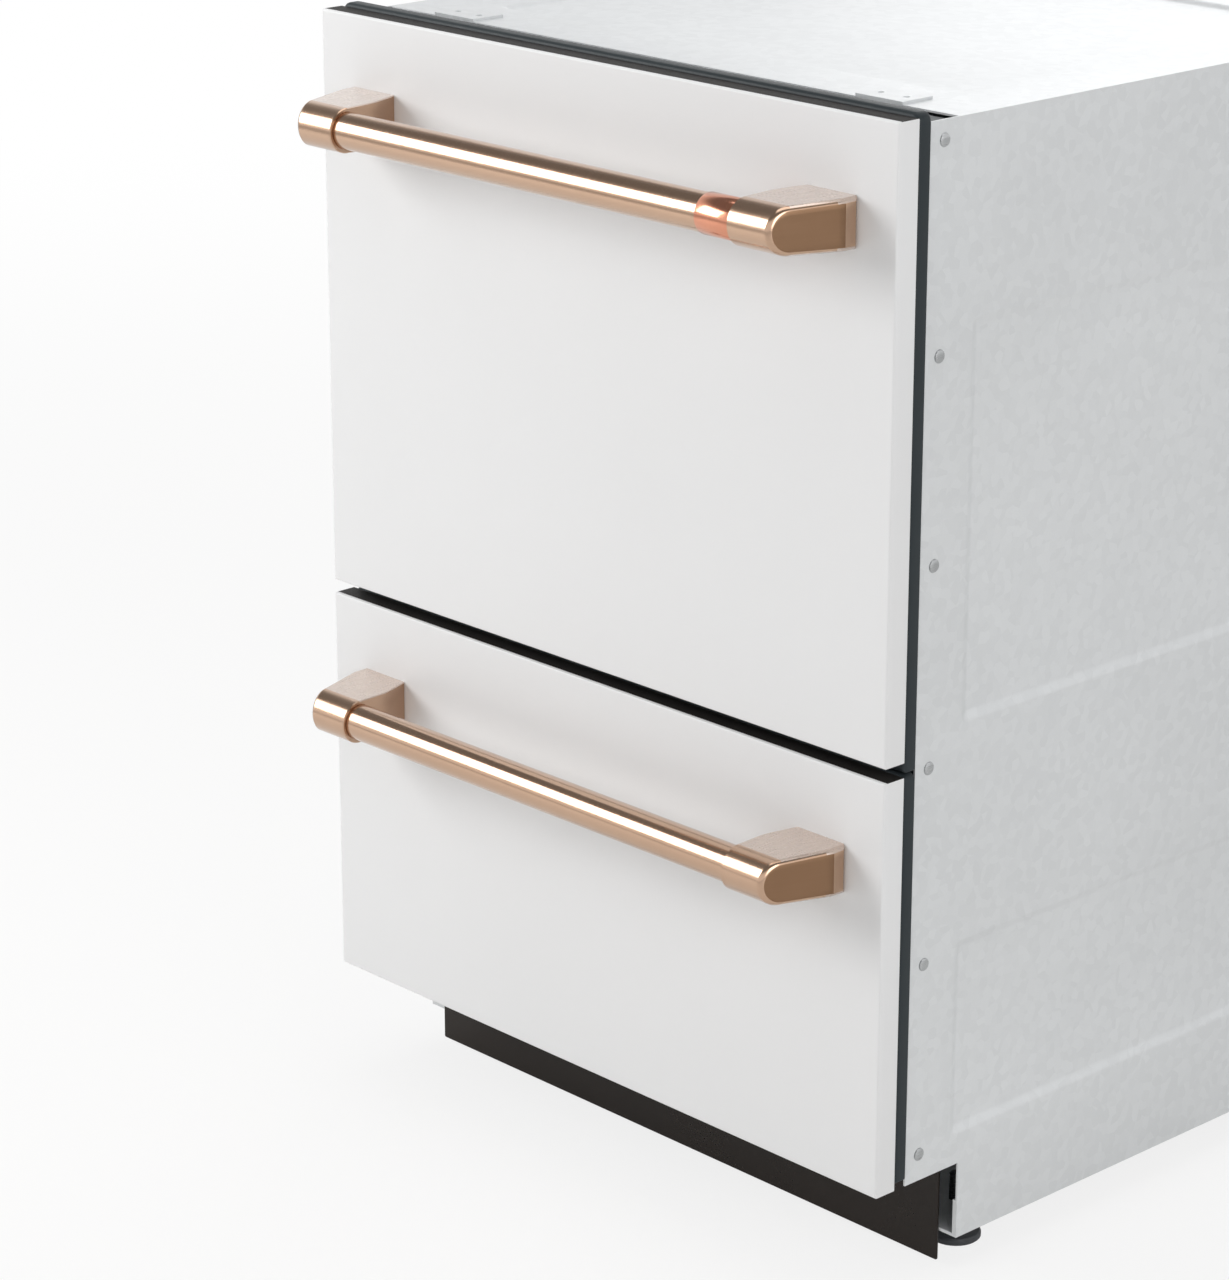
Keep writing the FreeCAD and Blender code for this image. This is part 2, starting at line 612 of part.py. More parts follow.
def slides():
    outer = []
    for side in ("upper", "lower"):
        rail = joined(side + "_outer_rail", channel(side + "_outer", side, "outer_web", "outer_lip"))
        outer += [rail, flipped(rail)]
    keep(group("outer_rail_set", outer), "outer_rails")
    for side in ("upper", "lower"):
        rail = channel(side + "_inner", side, "inner_web", "inner_web")
        seats = []
        for tag, y in (("front", "tub_front + seat_inset"),
                       ("back", "tub_back - tub_corner_radius - seat_inset - seat_length")):
            seats.append(block("%s_seat_%s" % (side, tag), "inner_web - tub_half", "seat_length",
                               "rail_height - 2 * seat_edge", "tub_half", y,
                               railCentre(side) + " - rail_height / 2 + seat_edge"))
        inner = joined(side + "_inner_rail", rail + seats)
        keep(pair(side + "_inner_pair", inner), side + "_inner_rails")
        tall = "(rail_height - 2 * rail_wall - 2 * rail_gap)"
        low = "%s - %s / 2" % (railCentre(side), tall)
        left = "chassis_inner - 2 * rail_overlap + rail_wall"
        wide = "2 * rail_overlap - 2 * rail_wall - rail_gap"
        web = block(side + "_carriage_web", "rail_web", "rail_length", tall,
                    "%s + (%s - rail_web) / 2" % (left, wide), "rail_y", low)
        plates = [block(side + "_carriage_low", wide, "rail_length", "rail_flange", left, "rail_y", low),
                  block(side + "_carriage_high", wide, "rail_length", "rail_flange", left, "rail_y",
                        "%s + %s - rail_flange" % (low, tall))]
        carriage = joined(side + "_carriage", [web] + plates)
        keep(pair(side + "_carriage_pair", carriage), side + "_middle_rails")


# Tubs: open-topped shells with a rim flange and a round sump hole

def tub(side):
    low = side + "_tub_bottom"
    tall = side + "_tub_height"
    outer = block(side + "_tub_outer", "tub_width", "tub_depth", tall, "-tub_half", "tub_front", low)
    shell = rounded(side + "_tub_shell", outer, "tub_corner_radius", upright)
    flange = block(side + "_tub_flange", "tub_width + 2 * rim_flange", "tub_depth + rim_flange", "rim_thick",
                   "-tub_half - rim_flange", "tub_front", side + "_rim - rim_thick")
    inner = block(side + "_tub_inner", "tub_width - 2 * tub_wall", "tub_depth - 2 * tub_wall", tall,
                  "-tub_half + tub_wall", "tub_front + tub_wall", low + " + tub_wall")
    hollow = rounded(side + "_tub_hollow", inner, "tub_corner_radius", upright)
    sump = rod(side + "_tub_sump", "sump_radius", "tub_wall + 2 * past", 0, "tub_middle", low + " - past")
    keep(cut(side + "_tub_cut", cut(side + "_tub_open", joined(side + "_tub_solid", [shell, flange]), hollow),
             sump), side + "_tub")


# Wash system: pump housing with its shaft, impeller, filter plate and spray arm

def washPump(side):
    low = side + "_tub_bottom"
    flange = rod(side + "_pump_flange", "sump_radius + pump_flange", "pump_flange_thick", 0, "tub_middle",
                 low + " - pump_flange_thick")
    bowl = rod(side + "_pump_bowl", "bowl_radius", "bowl_depth", 0, "tub_middle",
               low + " - pump_flange_thick - bowl_depth")
    outlet = rod(side + "_pump_outlet", "outlet_radius", "outlet_length + outlet_root", 0,
                 "tub_middle + bowl_radius - outlet_root", low + " - pump_flange_thick - bowl_depth / 2", "y")
    hollow = rod(side + "_pump_hollow", "bowl_radius - bowl_wall", "bowl_depth + pump_flange_thick", 0,
                 "tub_middle", low + " - pump_flange_thick - bowl_depth + bowl_wall")
    post = rod(side + "_pump_post", "post_radius",
               "bowl_depth - bowl_wall + pump_flange_thick + tub_wall + post_rise", 0, "tub_middle",
               low + " - pump_flange_thick - bowl_depth + bowl_wall")
    casing = cut(side + "_pump_open", joined(side + "_pump_casing", [flange, bowl, outlet]), hollow)
    keep(joined(side + "_pump_solid", [casing, post]), side + "_wash_pump")


upward = Vector(0, 0, 1)


def drill(radius, low, high):
    """A cylinder round the upright axis that runs past both levels."""
    past = size("past")
    return Part.makeCylinder(radius, high - low + 2 * past, Vector(0, 0, low - past))


def impellerShape():
    """A disc with a hub and upright vanes, bored for the post."""
    tall, thick, sink = size("impeller_height"), size("vane_thick"), size("vane_sink")
    wheel = Part.makeCylinder(size("impeller_hub"), tall)
    wheel = wheel.fuse(Part.makeCylinder(size("impeller_radius"), size("impeller_disc")))
    start = size("impeller_hub") - sink
    length = size("impeller_radius") - size("vane_margin") - start
    for i in range(int(size("vane_count"))):
        vane = Part.makeBox(length, thick, tall - size("vane_drop") - sink, Vector(start, -thick / 2, sink))
        vane.rotate(Vector(), upward, 360 * i / size("vane_count"))
        wheel = wheel.fuse(vane)
    return wheel.cut(drill(size("post_radius") + size("running_clearance"), 0, tall)).removeSplitter()


def filterShape():
    """A round plate with a ring of slots and two finger grips."""
    radius = size("sump_radius") - size("filter_gap")
    thick, wide, past = size("tub_wall"), size("filter_slot_width"), size("past")
    plate = Part.makeCylinder(radius, thick).cut(drill(size("filter_bore"), 0, thick))
    slots = []
    for i in range(int(size("filter_slots"))):
        slot = Part.makeBox(size("filter_slot_length"), wide, thick + 2 * past,
                            Vector(size("filter_slot_start"), -wide / 2, -past))
        slot.rotate(Vector(), upward, 360 * i / size("filter_slots"))
        slots.append(slot)
    plate = plate.cut(Part.makeCompound(slots))
    length, deep = size("grip_length"), size("grip_thick")
    for sign in (-1, 1):
        middle = sign * (radius - size("grip_inset"))
        plate = plate.fuse(solidBox((-length / 2, middle - deep / 2, thick / 2),
                                    (length / 2, middle + deep / 2, thick + size("grip_height"))))
    return plate.removeSplitter()


def sprayArmShape():
    """A hub that hangs over the post and two tapering wings with spray holes."""
    low = size("hub_bottom")
    hub = Part.makeCylinder(size("hub_radius"), size("hub_top") - low, Vector(0, 0, low))
    level = low + size("arm_raise")
    root, tip, reach = size("arm_root"), size("arm_tip"), size("arm_reach")
    outline = [(-reach, -tip), (0, -root), (reach, -tip), (reach, tip), (0, root), (-reach, tip)]
    wire = Part.makePolygon([Vector(x, y, level) for x, y in outline + outline[:1]])
    wings = Part.Face(wire).extrude(Vector(0, 0, size("arm_thick")))
    ends = [e for e in wings.Edges if upright(e) and abs(abs(e.Vertexes[0].X) - reach) < near]
    wings = wings.makeFillet(size("arm_tip_radius"), ends)
    arm = hub.fuse(wings)
    count = int(size("nozzle_count"))
    pitch = (reach - size("nozzle_end_gap")) / count
    nozzle_z = level + size("arm_thick") - size("nozzle_depth")
    for i in range(1, count + 1):
        for sign in (-1, 1):
            place = Vector(sign * i * pitch, sign * size("nozzle_offset"), nozzle_z)
            nozzle = Part.makeCylinder(size("nozzle_radius"), size("nozzle_depth") + size("past"), place)
            arm = arm.cut(nozzle)
    bore_top = size("post_rise") + size("post_room")
    bore = Part.makeCylinder(size("post_radius") + size("running_clearance"), bore_top, Vector(0, 0, 0))
    return arm.cut(bore).removeSplitter()


def washSystem(side):
    washPump(side)
    low = side + "_tub_bottom"
    wheel = shaped(side + "_impeller_wheel", impellerShape())
    put(wheel, 0, "tub_middle", low + " - pump_flange_thick - bowl_depth + bowl_wall + impeller_lift")
    keep(wheel, side + "_impeller")
    plate = shaped(side + "_filter", filterShape())
    put(plate, 0, "tub_middle", low + " + filter_gap")
    keep(plate, side + "_filter_plate")
    arm = shaped(side + "_arm", sprayArmShape())
    put(arm, 0, "tub_middle", low + " + tub_wall")
    keep(arm, side + "_spray_arm")


# Lids: plates on four guides, with a seal under the edge

lugPlaces = (("front", "tub_front + lug_inset"), ("back", "tub_back - lug_inset - lug_width"))


def lid(side):
    low = side + "_rim + lid_bottom_rise"
    plate = block(side + "_lid_plate", "2 * lid_half", "tub_depth + rim_flange", "lid_thick", "-lid_half",
                  "tub_front", low)
    lugs = []
    holes = []
    for back, y in lugPlaces:
        for sign, tag in ((-1, "left"), (1, "right")):
            x = "lid_half" if sign > 0 else "-lid_half - lug_reach"
            lugs.append(block("%s_lug_%s_%s" % (side, back, tag), "lug_reach", "lug_width", "lid_thick", x, y,
                              low))
            holes.append(rod("%s_lug_hole_%s_%s" % (side, back, tag), "guide_radius + running_clearance",
                             "lid_thick + 2 * past", "%d * (lid_half + lug_reach / 2)" % sign,
                             y + " + lug_width / 2", low + " - past"))
    recess = block(side + "_lid_recess", "2 * (lid_half - lid_border)", "tub_depth - 2 * lid_border",
                   "lid_recess", "-lid_half + lid_border", "tub_front + lid_border",
                   low + " + lid_thick - lid_recess")
    whole = joined(side + "_lid_solid", [plate] + lugs)
    keep(cut(side + "_lid_cut", whole, group(side + "_lid_hollows", holes + [recess])), side + "_lid")
    ring_half = "tub_half + seal_spread"
    ring_front = "tub_front + seal_front_gap"
    ring = block(side + "_seal_outer", "2 * (%s)" % ring_half, "tub_depth + seal_spread", "seal_height",
                 "-(%s)" % ring_half, ring_front, low + " - seal_height")
    inside = block(side + "_seal_inner", "2 * (%s - seal_width)" % ring_half,
                   "tub_depth + seal_spread - 2 * seal_width", "seal_height + 2 * past",
                   "seal_width - (%s)" % ring_half, ring_front + " + seal_width",
                   low + " - seal_height - past")
    keep(cut(side + "_seal_cut", ring, inside), side + "_lid_seal")
    guides = []
    top = low + " + lid_thick + guide_gap"
    for back, y in lugPlaces:
        arm = block("%s_guide_%s_arm" % (side, back), "chassis_inner - lid_half - guide_side_gap",
                    "lug_width", "guide_thick", "lid_half + guide_side_gap", y, top)
        pin = rod("%s_guide_%s_pin" % (side, back), "guide_radius",
                  "guide_gap + lid_thick + guide_reach + pin_sink", "lid_half + lug_reach / 2",
                  y + " + lug_width / 2", low + " - guide_reach")
        guide = joined("%s_guide_%s" % (side, back), [arm, pin])
        guides += [guide, flipped(guide)]
    return guides


# Racks: grids that stand on four legs, with tine rows

def gridPlate(low, high, across, up):
    """A flat plate with a grid of square holes; across and up are its two long directions."""
    plate = solidBox(low, high)
    pitch, bar, past = size("rack_pitch"), size("rack_bar"), size("past")
    counts, starts = [], []
    for axis in (across, up):
        span = high[axis] - low[axis]
        count = max(1, int((span - bar) // pitch))
        counts.append((count, (span - bar) / count))
        starts.append(low[axis] + bar)
    thin = 3 - across - up
    holes = []
    for i in range(counts[0][0]):
        for j in range(counts[1][0]):
            a = [0, 0, 0]
            b = [0, 0, 0]
            a[thin], b[thin] = low[thin] - past, high[thin] + past
            a[across] = starts[0] + i * counts[0][1]
            b[across] = a[across] + counts[0][1] - bar
            a[up] = starts[1] + j * counts[1][1]
            b[up] = a[up] + counts[1][1] - bar
            holes.append(solidBox(a, b))
    return plate.cut(Part.makeCompound(holes))


def tineRow(x, y, z, step, count):
    """A low bar that carries upright tines."""
    tine = size("tine_size")
    bar = solidBox((x - tine, y - tine / 2, z), (x + (count - 1) * step + tine, y + tine / 2, z + tine))
    for i in range(count):
        middle = x + i * step
        bar = bar.fuse(solidBox((middle - tine / 2, y - tine / 2, z + tine / 2),
                                (middle + tine / 2, y + tine / 2, z + size("tine_height"))))
    return bar.removeSplitter()


def pivotBlock(middle, along, low_z, axis_z):
    """A small block with a bearing hole through it along X or Y."""
    wide, deep = size("pivot_width"), size("pivot_block")
    half = (wide / 2, deep / 2) if along == "x" else (deep / 2, wide / 2)
    body = solidBox((middle[0] - half[0], middle[1] - half[1], low_z),
                    (middle[0] + half[0], middle[1] + half[1], axis_z + size("pivot_rise") / 2))
    direction = Vector(1, 0, 0) if along == "x" else Vector(0, 1, 0)
    start = Vector(middle[0], middle[1], axis_z) - direction * deep
    radius = size("shaft_radius") + size("running_clearance")
    return body.cut(Part.makeCylinder(radius, 2 * deep, start, direction))


def rackLevels(side):
    floor = size(side + "_tub_bottom") + size("tub_wall")
    low = floor + size("rack_lift")
    return floor, low, low + size("rack_wire")


def foldRow(side):
    """Where the folding row's shaft runs: its ends along X, its Y and its Z."""
    top = rackLevels(side)[2]
    beyond = size("pivot_width") + size("row_end_gap")
    return (size("tine_left") - beyond, size("tine_right") + beyond, size("rack_front") + size("fold_place"),
            top + size("shaft_lift"))


def shelfAxis():
    """The cup shelf's hinge line: its X and its Z, and its ends along Y."""
    x = size("rack_half") - size("rack_wire") - size("shelf_wall_gap")
    return (x, rackLevels("upper")[2] + size("shelf_lift"), size("rack_front") + size("shelf_inset"),
            size("rack_back") - size("shelf_inset"))


def rack(side):
    floor, low, top = rackLevels(side)
    half, wire = size("rack_half"), size("rack_wire")
    front, back = size("rack_front"), size("rack_back")
    high = low + size(side + "_rack_height")
    solids = [gridPlate((-half, front, low), (half, back, top), 0, 1)]
    for x in (-half, half - wire):
        solids.append(gridPlate((x, front, top), (x + wire, back, high), 1, 2))
    for y in (front, back - wire):
        solids.append(gridPlate((-half + wire, y, top), (half - wire, y + wire, high), 0, 2))
    leg = size("leg_size")
    for x in (-half, half - leg):
        for y in (front, back - leg):
            solids.append(solidBox((x, y, floor), (x + leg, y + leg, low)))
    for y in (front + size("row_inset"), back - size("row_inset")):
        solids.append(tineRow(size("tine_left"), y, top, size("tine_pitch"), int(size("tine_count"))))
    left, right, fold_y, fold_z = foldRow(side)
    for x in (left + size("pivot_width") / 2, right - size("pivot_width") / 2):
        solids.append(pivotBlock((x, fold_y), "x", top, fold_z))
    if side == "upper":
        x, z, y_front, y_back = shelfAxis()
        half_width, half_rise = size("pivot_width") / 2, size("pivot_rise") / 2
        for y in (y_front + half_width, y_back - half_width):
            ear = pivotBlock((x, y), "y", z - half_rise, z)
            arm = solidBox((x + size("pivot_block") / 2, y - half_width, z - half_rise),
                           (half - wire, y + half_width, z + half_rise))
            solids.append(ear.fuse(arm).removeSplitter())
    keep(shaped(side + "_rack_solids", Part.makeCompound(solids)), side + "_rack")


def foldingTines(side):
    left, right, y, z = foldRow(side)
    shaft = Part.makeCylinder(size("shaft_radius"), right - left, Vector(left, y, z), Vector(1, 0, 0))
    half = size("tine_size") / 2
    tip = z + size("tine_height") - size("shaft_lift")
    for i in range(int(size("tine_count"))):
        x = size("tine_left") + i * size("tine_pitch")
        shaft = shaft.fuse(solidBox((x - half, y - half, z), (x + half, y + half, tip)))
    keep(shaped(side + "_folding_row", shaft.removeSplitter()), side + "_folding_tines")


def cupShelf():
    x, z, front, back = shelfAxis()
    thin = size("rack_wire")
    shaft = Part.makeCylinder(size("shaft_radius"), back - front, Vector(x, front, z), Vector(0, 1, 0))
    inset = size("pivot_width") + size("shelf_end_gap")
    plate = gridPlate((x - size("shelf_width"), front + inset, z - thin / 2),
                      (x, back - inset, z + thin / 2), 0, 1)
    keep(shaped("upper_shelf", shaft.fuse(plate).removeSplitter()), "upper_cup_shelf")


def cutleryBasket():
    """An open box with upright slots in its long sides, standing on the lower rack's floor."""
    top = rackLevels("lower")[2]
    left, right = size("basket_left"), size("basket_right")
    front = size("rack_front") + size("basket_inset")
    back = size("rack_back") - size("basket_inset")
    wall, past = size("basket_wall"), size("past")
    high = top + size("basket_height")
    shell = solidBox((left, front, top), (right, back, high))
    shell = shell.cut(solidBox((left + wall, front + wall, top + wall),
                               (right - wall, back - wall, high + past)))
    slots = []
    count = int(size("basket_slots"))
    step = (back - front - 2 * wall) / count
    for i in range(count):
        y = front + wall + (i + 0.5) * step
        slots.append(solidBox((left - past, y - size("basket_slot") / 2, top + size("basket_slot_foot")),
                              (right + past, y + size("basket_slot") / 2, high - size("basket_slot_head"))))
    keep(shaped("basket", shell.cut(Part.makeCompound(slots))), "lower_cutlery_basket")


# Dispensers: a cup in a block on the tub's front wall, closed by a door that slides sideways

def dispenser(side):
    face = "tub_front + tub_wall"
    low = "%s_rim - dispenser_drop - dispenser_height" % side
    middle = "%s + dispenser_height / 2" % low
    base = block(side + "_dispenser_base", "dispenser_width", "dispenser_depth", "dispenser_height",
                 "-dispenser_width / 2", face, low)
    slide_tall = "(cup_height + 2 * slide_margin)"
    lips = []
    for sign, tag in ((-1, "low"), (1, "high")):
        edge = "%s + %d * (%s / 2 + slide_gap)" % (middle, sign, slide_tall)
        rail_low = edge if sign > 0 else edge + " - slide_lip"
        lips.append(block("%s_lip_%s_rail" % (side, tag), "dispenser_width",
                          "2 * slide_gap + slide_thick + slide_lip", "slide_lip", "-dispenser_width / 2",
                          face + " + dispenser_depth", rail_low))
        lips.append(block("%s_lip_%s_hook" % (side, tag), "dispenser_width", "slide_lip", "2 * slide_lip",
                          "-dispenser_width / 2", face + " + dispenser_depth + 2 * slide_gap + slide_thick",
                          edge + " - slide_lip"))
    cup = block(side + "_cup", "cup_width", "cup_depth + past", "cup_height",
                "-dispenser_width / 2 + cup_inset", face + " + dispenser_depth - cup_depth",
                middle + " - cup_height / 2")
    solid = joined(side + "_dispenser_solid", [base] + lips)
    keep(cut(side + "_dispenser_cut", solid, cup), side + "_dispenser")
    keep(block(side + "_slide", "cup_width + 2 * slide_margin", "slide_thick", slide_tall,
               "-dispenser_width / 2 + cup_inset - slide_margin", face + " + dispenser_depth + slide_gap",
               "%s - %s / 2" % (middle, slide_tall)), side + "_dispenser_door")


# Control strips: a housing behind the top of each door, with two buttons in its top face

def controls(side):
    top = side + "_rim + lid_room - strip_drop"
    housing = block(side + "_strip", "strip_length", "tub_front_gap - strip_gap",
                    "strip_height + lid_room - strip_drop", "-strip_length / 2", "door_back",
                    "%s_rim - strip_height" % side)
    middle = "door_back + (tub_front_gap - strip_gap) / 2"
    pockets = []
    for name, place_x in (("power", "-button_spread"), ("start", "button_spread")):
        pockets.append(block("%s_%s_pocket" % (side, name), "button_width + 2 * button_gap",
                             "button_depth + 2 * button_gap", "button_height + button_room",
                             "%s - button_width / 2 - button_gap" % place_x,
                             middle + " - button_depth / 2 - button_gap",
                             top + " + button_rise - button_height - button_room"))
        keep(block("%s_%s_key" % (side, name), "button_width", "button_depth", "button_height",
                   place_x + " - button_width / 2", middle + " - button_depth / 2",
                   top + " + button_rise - button_height"), "%s_%s_button" % (side, name))
    keep(cut(side + "_strip_cut", housing, group(side + "_pockets", pockets)), side + "_control_strip")


slides()
guide_set = []
for side in ("upper", "lower"):
    tub(side)
    washSystem(side)
    guide_set += lid(side)
    rack(side)
    foldingTines(side)
    dispenser(side)
    controls(side)
cupShelf()
cutleryBasket()
keep(group("guide_group", guide_set), "lid_guides")
keep(group("screw_group", screws()), "chassis_screws")

# Checks and export

doc.recompute()
for thing in doc.Objects:
    if "Invalid" in thing.State or "Error" in thing.State:
        raise RuntimeError("%s: %s" % (thing.Name, thing.State))
for thing in finished:
    if thing.Shape.isNull() or not thing.Shape.isValid():
        raise RuntimeError(thing.Label + " has no valid shape")

os.makedirs("parts", exist_ok=True)
for thing in finished:
    thing.Shape.exportStep(os.path.join("parts", thing.Label + ".step"))
    box = thing.Shape.BoundBox
    print("%-26s solids %2d  volume %10.0f  x %.1f..%.1f  y %.1f..%.1f  z %.1f..%.1f"
          % (thing.Label, len(thing.Shape.Solids), thing.Shape.Volume, box.XMin, box.XMax, box.YMin, box.YMax,
             box.ZMin, box.ZMax))
print("sub-parts", len(finished))
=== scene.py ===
import math

import bmesh
import bpy
import numpy as np
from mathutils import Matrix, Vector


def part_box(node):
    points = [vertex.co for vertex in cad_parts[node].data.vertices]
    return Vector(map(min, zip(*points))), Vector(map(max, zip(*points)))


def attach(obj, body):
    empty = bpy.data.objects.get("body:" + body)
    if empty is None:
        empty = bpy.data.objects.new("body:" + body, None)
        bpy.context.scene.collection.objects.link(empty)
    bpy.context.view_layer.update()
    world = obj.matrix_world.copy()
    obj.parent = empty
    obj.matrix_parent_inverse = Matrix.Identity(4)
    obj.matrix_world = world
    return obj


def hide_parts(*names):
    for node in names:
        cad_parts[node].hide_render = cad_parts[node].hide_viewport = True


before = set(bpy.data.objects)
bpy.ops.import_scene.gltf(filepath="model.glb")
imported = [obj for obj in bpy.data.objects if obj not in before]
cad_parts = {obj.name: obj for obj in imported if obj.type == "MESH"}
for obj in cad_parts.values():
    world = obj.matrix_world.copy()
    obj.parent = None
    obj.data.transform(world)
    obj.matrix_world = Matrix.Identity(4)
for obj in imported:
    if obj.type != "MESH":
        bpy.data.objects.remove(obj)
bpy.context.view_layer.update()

mm = 0.001                       # the appliance's own sizes below are in millimetres
sides = ("upper", "lower")
flatAngle = math.radians(34)     # faces that meet at more than this keep a crisp edge
mergeDistance = 1e-6             # metres

# Camera and studio

photo = {
    "width": 1229, "height": 1280,
    "focalPixels": 4106.6,       # fitted to the corners of the fronts and the handles
    "place": (2114.6, -2211.8, 1406.5),
    "turn": 0.8176,              # radians to the left of straight on
    "tilt": 0.323,               # radians downwards
    "sensor": 36,
    "clip": (0.05, 60),          # metres
}

studio = {                       # in metres and watts
    "ambient": 0.4,              # light that reaches matt surfaces from all round
    "ambientColour": "#F7F8FA",
    "ceiling": 0.22,             # how much of the white is left overhead
    "ceilingRise": (0.42, 0.66),  # where on a unit sphere the white starts to fall and has fallen
    "aim": (0, 0, 0.45),         # the place that every lamp faces
    "keyPower": 50, "keyPlace": (-2.05, -2.15, 1.72), "keySize": (1.7, 1.45),
    "fillPower": 36, "fillPlace": (3.3, -1.1, 1.6), "fillSize": (2.0, 2.0),
    "topPower": 28, "topPlace": (0.2, 0.3, 3.4), "topSize": (2.4, 2.4),
    "backPower": 18, "backPlace": (-1.6, 3.2, 2.2), "backSize": (2.2, 2.2),
    "floorHalf": 9.0, "floorColour": "#EFEEEC",
    "floorGlow": (0.8, 1.0),     # how much of the floor's white shows whatever falls on it, near and far
    "mirrorGlow": (0.2, 0.35),   # the same shares, of what metal and gloss show of it
    "fade": (0.8, 4.0),          # where near ends and far begins
}

def toLinear(hexColour):
    # each sRGB channel over 255, then the sRGB curve to linear light
    channels = np.array([int(hexColour[i:i + 2], 16) for i in (1, 3, 5)]) / 255
    linear = np.where(channels <= 0.04045, channels / 12.92, ((channels + 0.055) / 1.055) ** 2.4)
    return (*linear.tolist(), 1.0)

def addNode(tree, kind, inputs=(), **settings):
    # inputs are in the order of the sockets, or a dictionary by name or number: a plain value is set on the
    # socket itself, and an output, which is the first one where a node is given, is linked to it
    node = tree.nodes.new("ShaderNode" + kind)
    for name, value in settings.items():
        setattr(node, name, value)
    for key, value in inputs.items() if isinstance(inputs, dict) else enumerate(inputs):
        value = value.outputs[0] if isinstance(value, bpy.types.Node) else value
        if isinstance(value, bpy.types.NodeSocket):
            tree.links.new(value, node.inputs[key])
        else:
            node.inputs[key].default_value = value
    return node

def emptyTree(owner):
    # the node tree of a material or a world, cleared
    owner.use_nodes = True
    owner.node_tree.nodes.clear()
    return owner.node_tree

def addObject(name, data):
    # an object of the data, at the world's origin
    thing = bpy.data.objects.new(name, data)
    bpy.context.scene.collection.objects.link(thing)
    return thing

def setCamera():
    # the lens is the sensor's width times the focal length in pixels over the longer side in pixels
    data = bpy.data.cameras.new("photoCamera")
    camera = addObject("photoCamera", data)
    bpy.context.scene.camera = camera
    data.sensor_width = photo["sensor"]
    data.lens = photo["sensor"] * photo["focalPixels"] / max(photo["width"], photo["height"])
    data.clip_start, data.clip_end = photo["clip"]
    camera.location = [v * mm for v in photo["place"]]
    camera.rotation_euler = (math.pi / 2 - photo["tilt"], 0, photo["turn"])

def setWorld():
    # white to the eye, to metal and to glass, with a pale grey ceiling overhead, and a plain even light to
    # everything else
    world = bpy.data.worlds.new("studio")
    bpy.context.scene.world = world
    tree = emptyTree(world)
    rays = addNode(tree, "LightPath").outputs
    seen = addNode(tree, "Math", (rays["Is Camera Ray"], rays["Is Glossy Ray"]), operation="MAXIMUM")
    seen = addNode(tree, "Math", (seen, rays["Is Transmission Ray"]), operation="MAXIMUM")
    even = addNode(tree, "Background", (toLinear(studio["ambientColour"]), studio["ambient"]))
    way = addNode(tree, "SeparateXYZ", (addNode(tree, "TexCoord").outputs["Generated"],))
    rise = addNode(tree, "MapRange", (way.outputs["Z"], *studio["ceilingRise"], 1, studio["ceiling"]),
                   interpolation_type="SMOOTHSTEP")
    white = addNode(tree, "Background", ((1, 1, 1, 1), rise))
    both = addNode(tree, "MixShader", (seen, even, white))
    addNode(tree, "OutputWorld", (both,))

def addLamp(name):
    # a soft box turned to the aim: its tilt is the angle of the way there from straight down
    data = bpy.data.lights.new(name, "AREA")
    data.energy = studio[name + "Power"]
    data.shape = "RECTANGLE"
    data.size, data.size_y = studio[name + "Size"]
    lamp = addObject(name, data)
    lamp.location = studio[name + "Place"]
    x, y, z = np.array(studio[name + "Place"]) - np.array(studio["aim"])
    lamp.rotation_euler = (math.atan2(math.hypot(x, y), z), 0, math.atan2(x, -y))

def addFloor():
    # a wide square whose white is partly its own, so that only the soft shadow darkens it
    half = studio["floorHalf"]
    mesh = bpy.data.meshes.new("floor")
    corners = [(-half, -half, 0), (half, -half, 0), (half, half, 0), (-half, half, 0)]
    mesh.from_pydata(corners, [], [(0, 1, 2, 3)])
    material = bpy.data.materials.new("seamlessPaper")
    tree = emptyTree(material)
    rays = addNode(tree, "LightPath").outputs
    away = addNode(tree, "VectorMath", (addNode(tree, "TexCoord").outputs["Object"],), operation="LENGTH")
    shares = []
    for ray, glow in (("Is Camera Ray", "floorGlow"), ("Is Glossy Ray", "mirrorGlow")):
        fade = addNode(tree, "MapRange", (away.outputs["Value"], *studio["fade"], *studio[glow]),
                       interpolation_type="SMOOTHSTEP")
        shares.append(addNode(tree, "Math", (rays[ray], fade), operation="MULTIPLY"))
    share = addNode(tree, "Math", shares, operation="MAXIMUM")
    paper = addNode(tree, "BsdfDiffuse", (toLinear(studio["floorColour"]),))
    glow = addNode(tree, "Emission", ((1, 1, 1, 1), 1))
    both = addNode(tree, "MixShader", (share, paper, glow))
    addNode(tree, "OutputMaterial", (both,))
    mesh.materials.append(material)
    addObject("floor", mesh)

setCamera()
setWorld()
for lampName in ("key", "fill", "top", "back"):
    addLamp(lampName)
addFloor()
bpy.context.scene.view_settings.view_transform = "Standard"
print("studio ready")

# Finishes. dark and light are the two ends of the colour, rough the two ends of the roughness. grain is the
# pattern's real size, one for all ways or three along x, y and z, depth how deep it is, and patch the size of
# the slow changes over a whole piece.

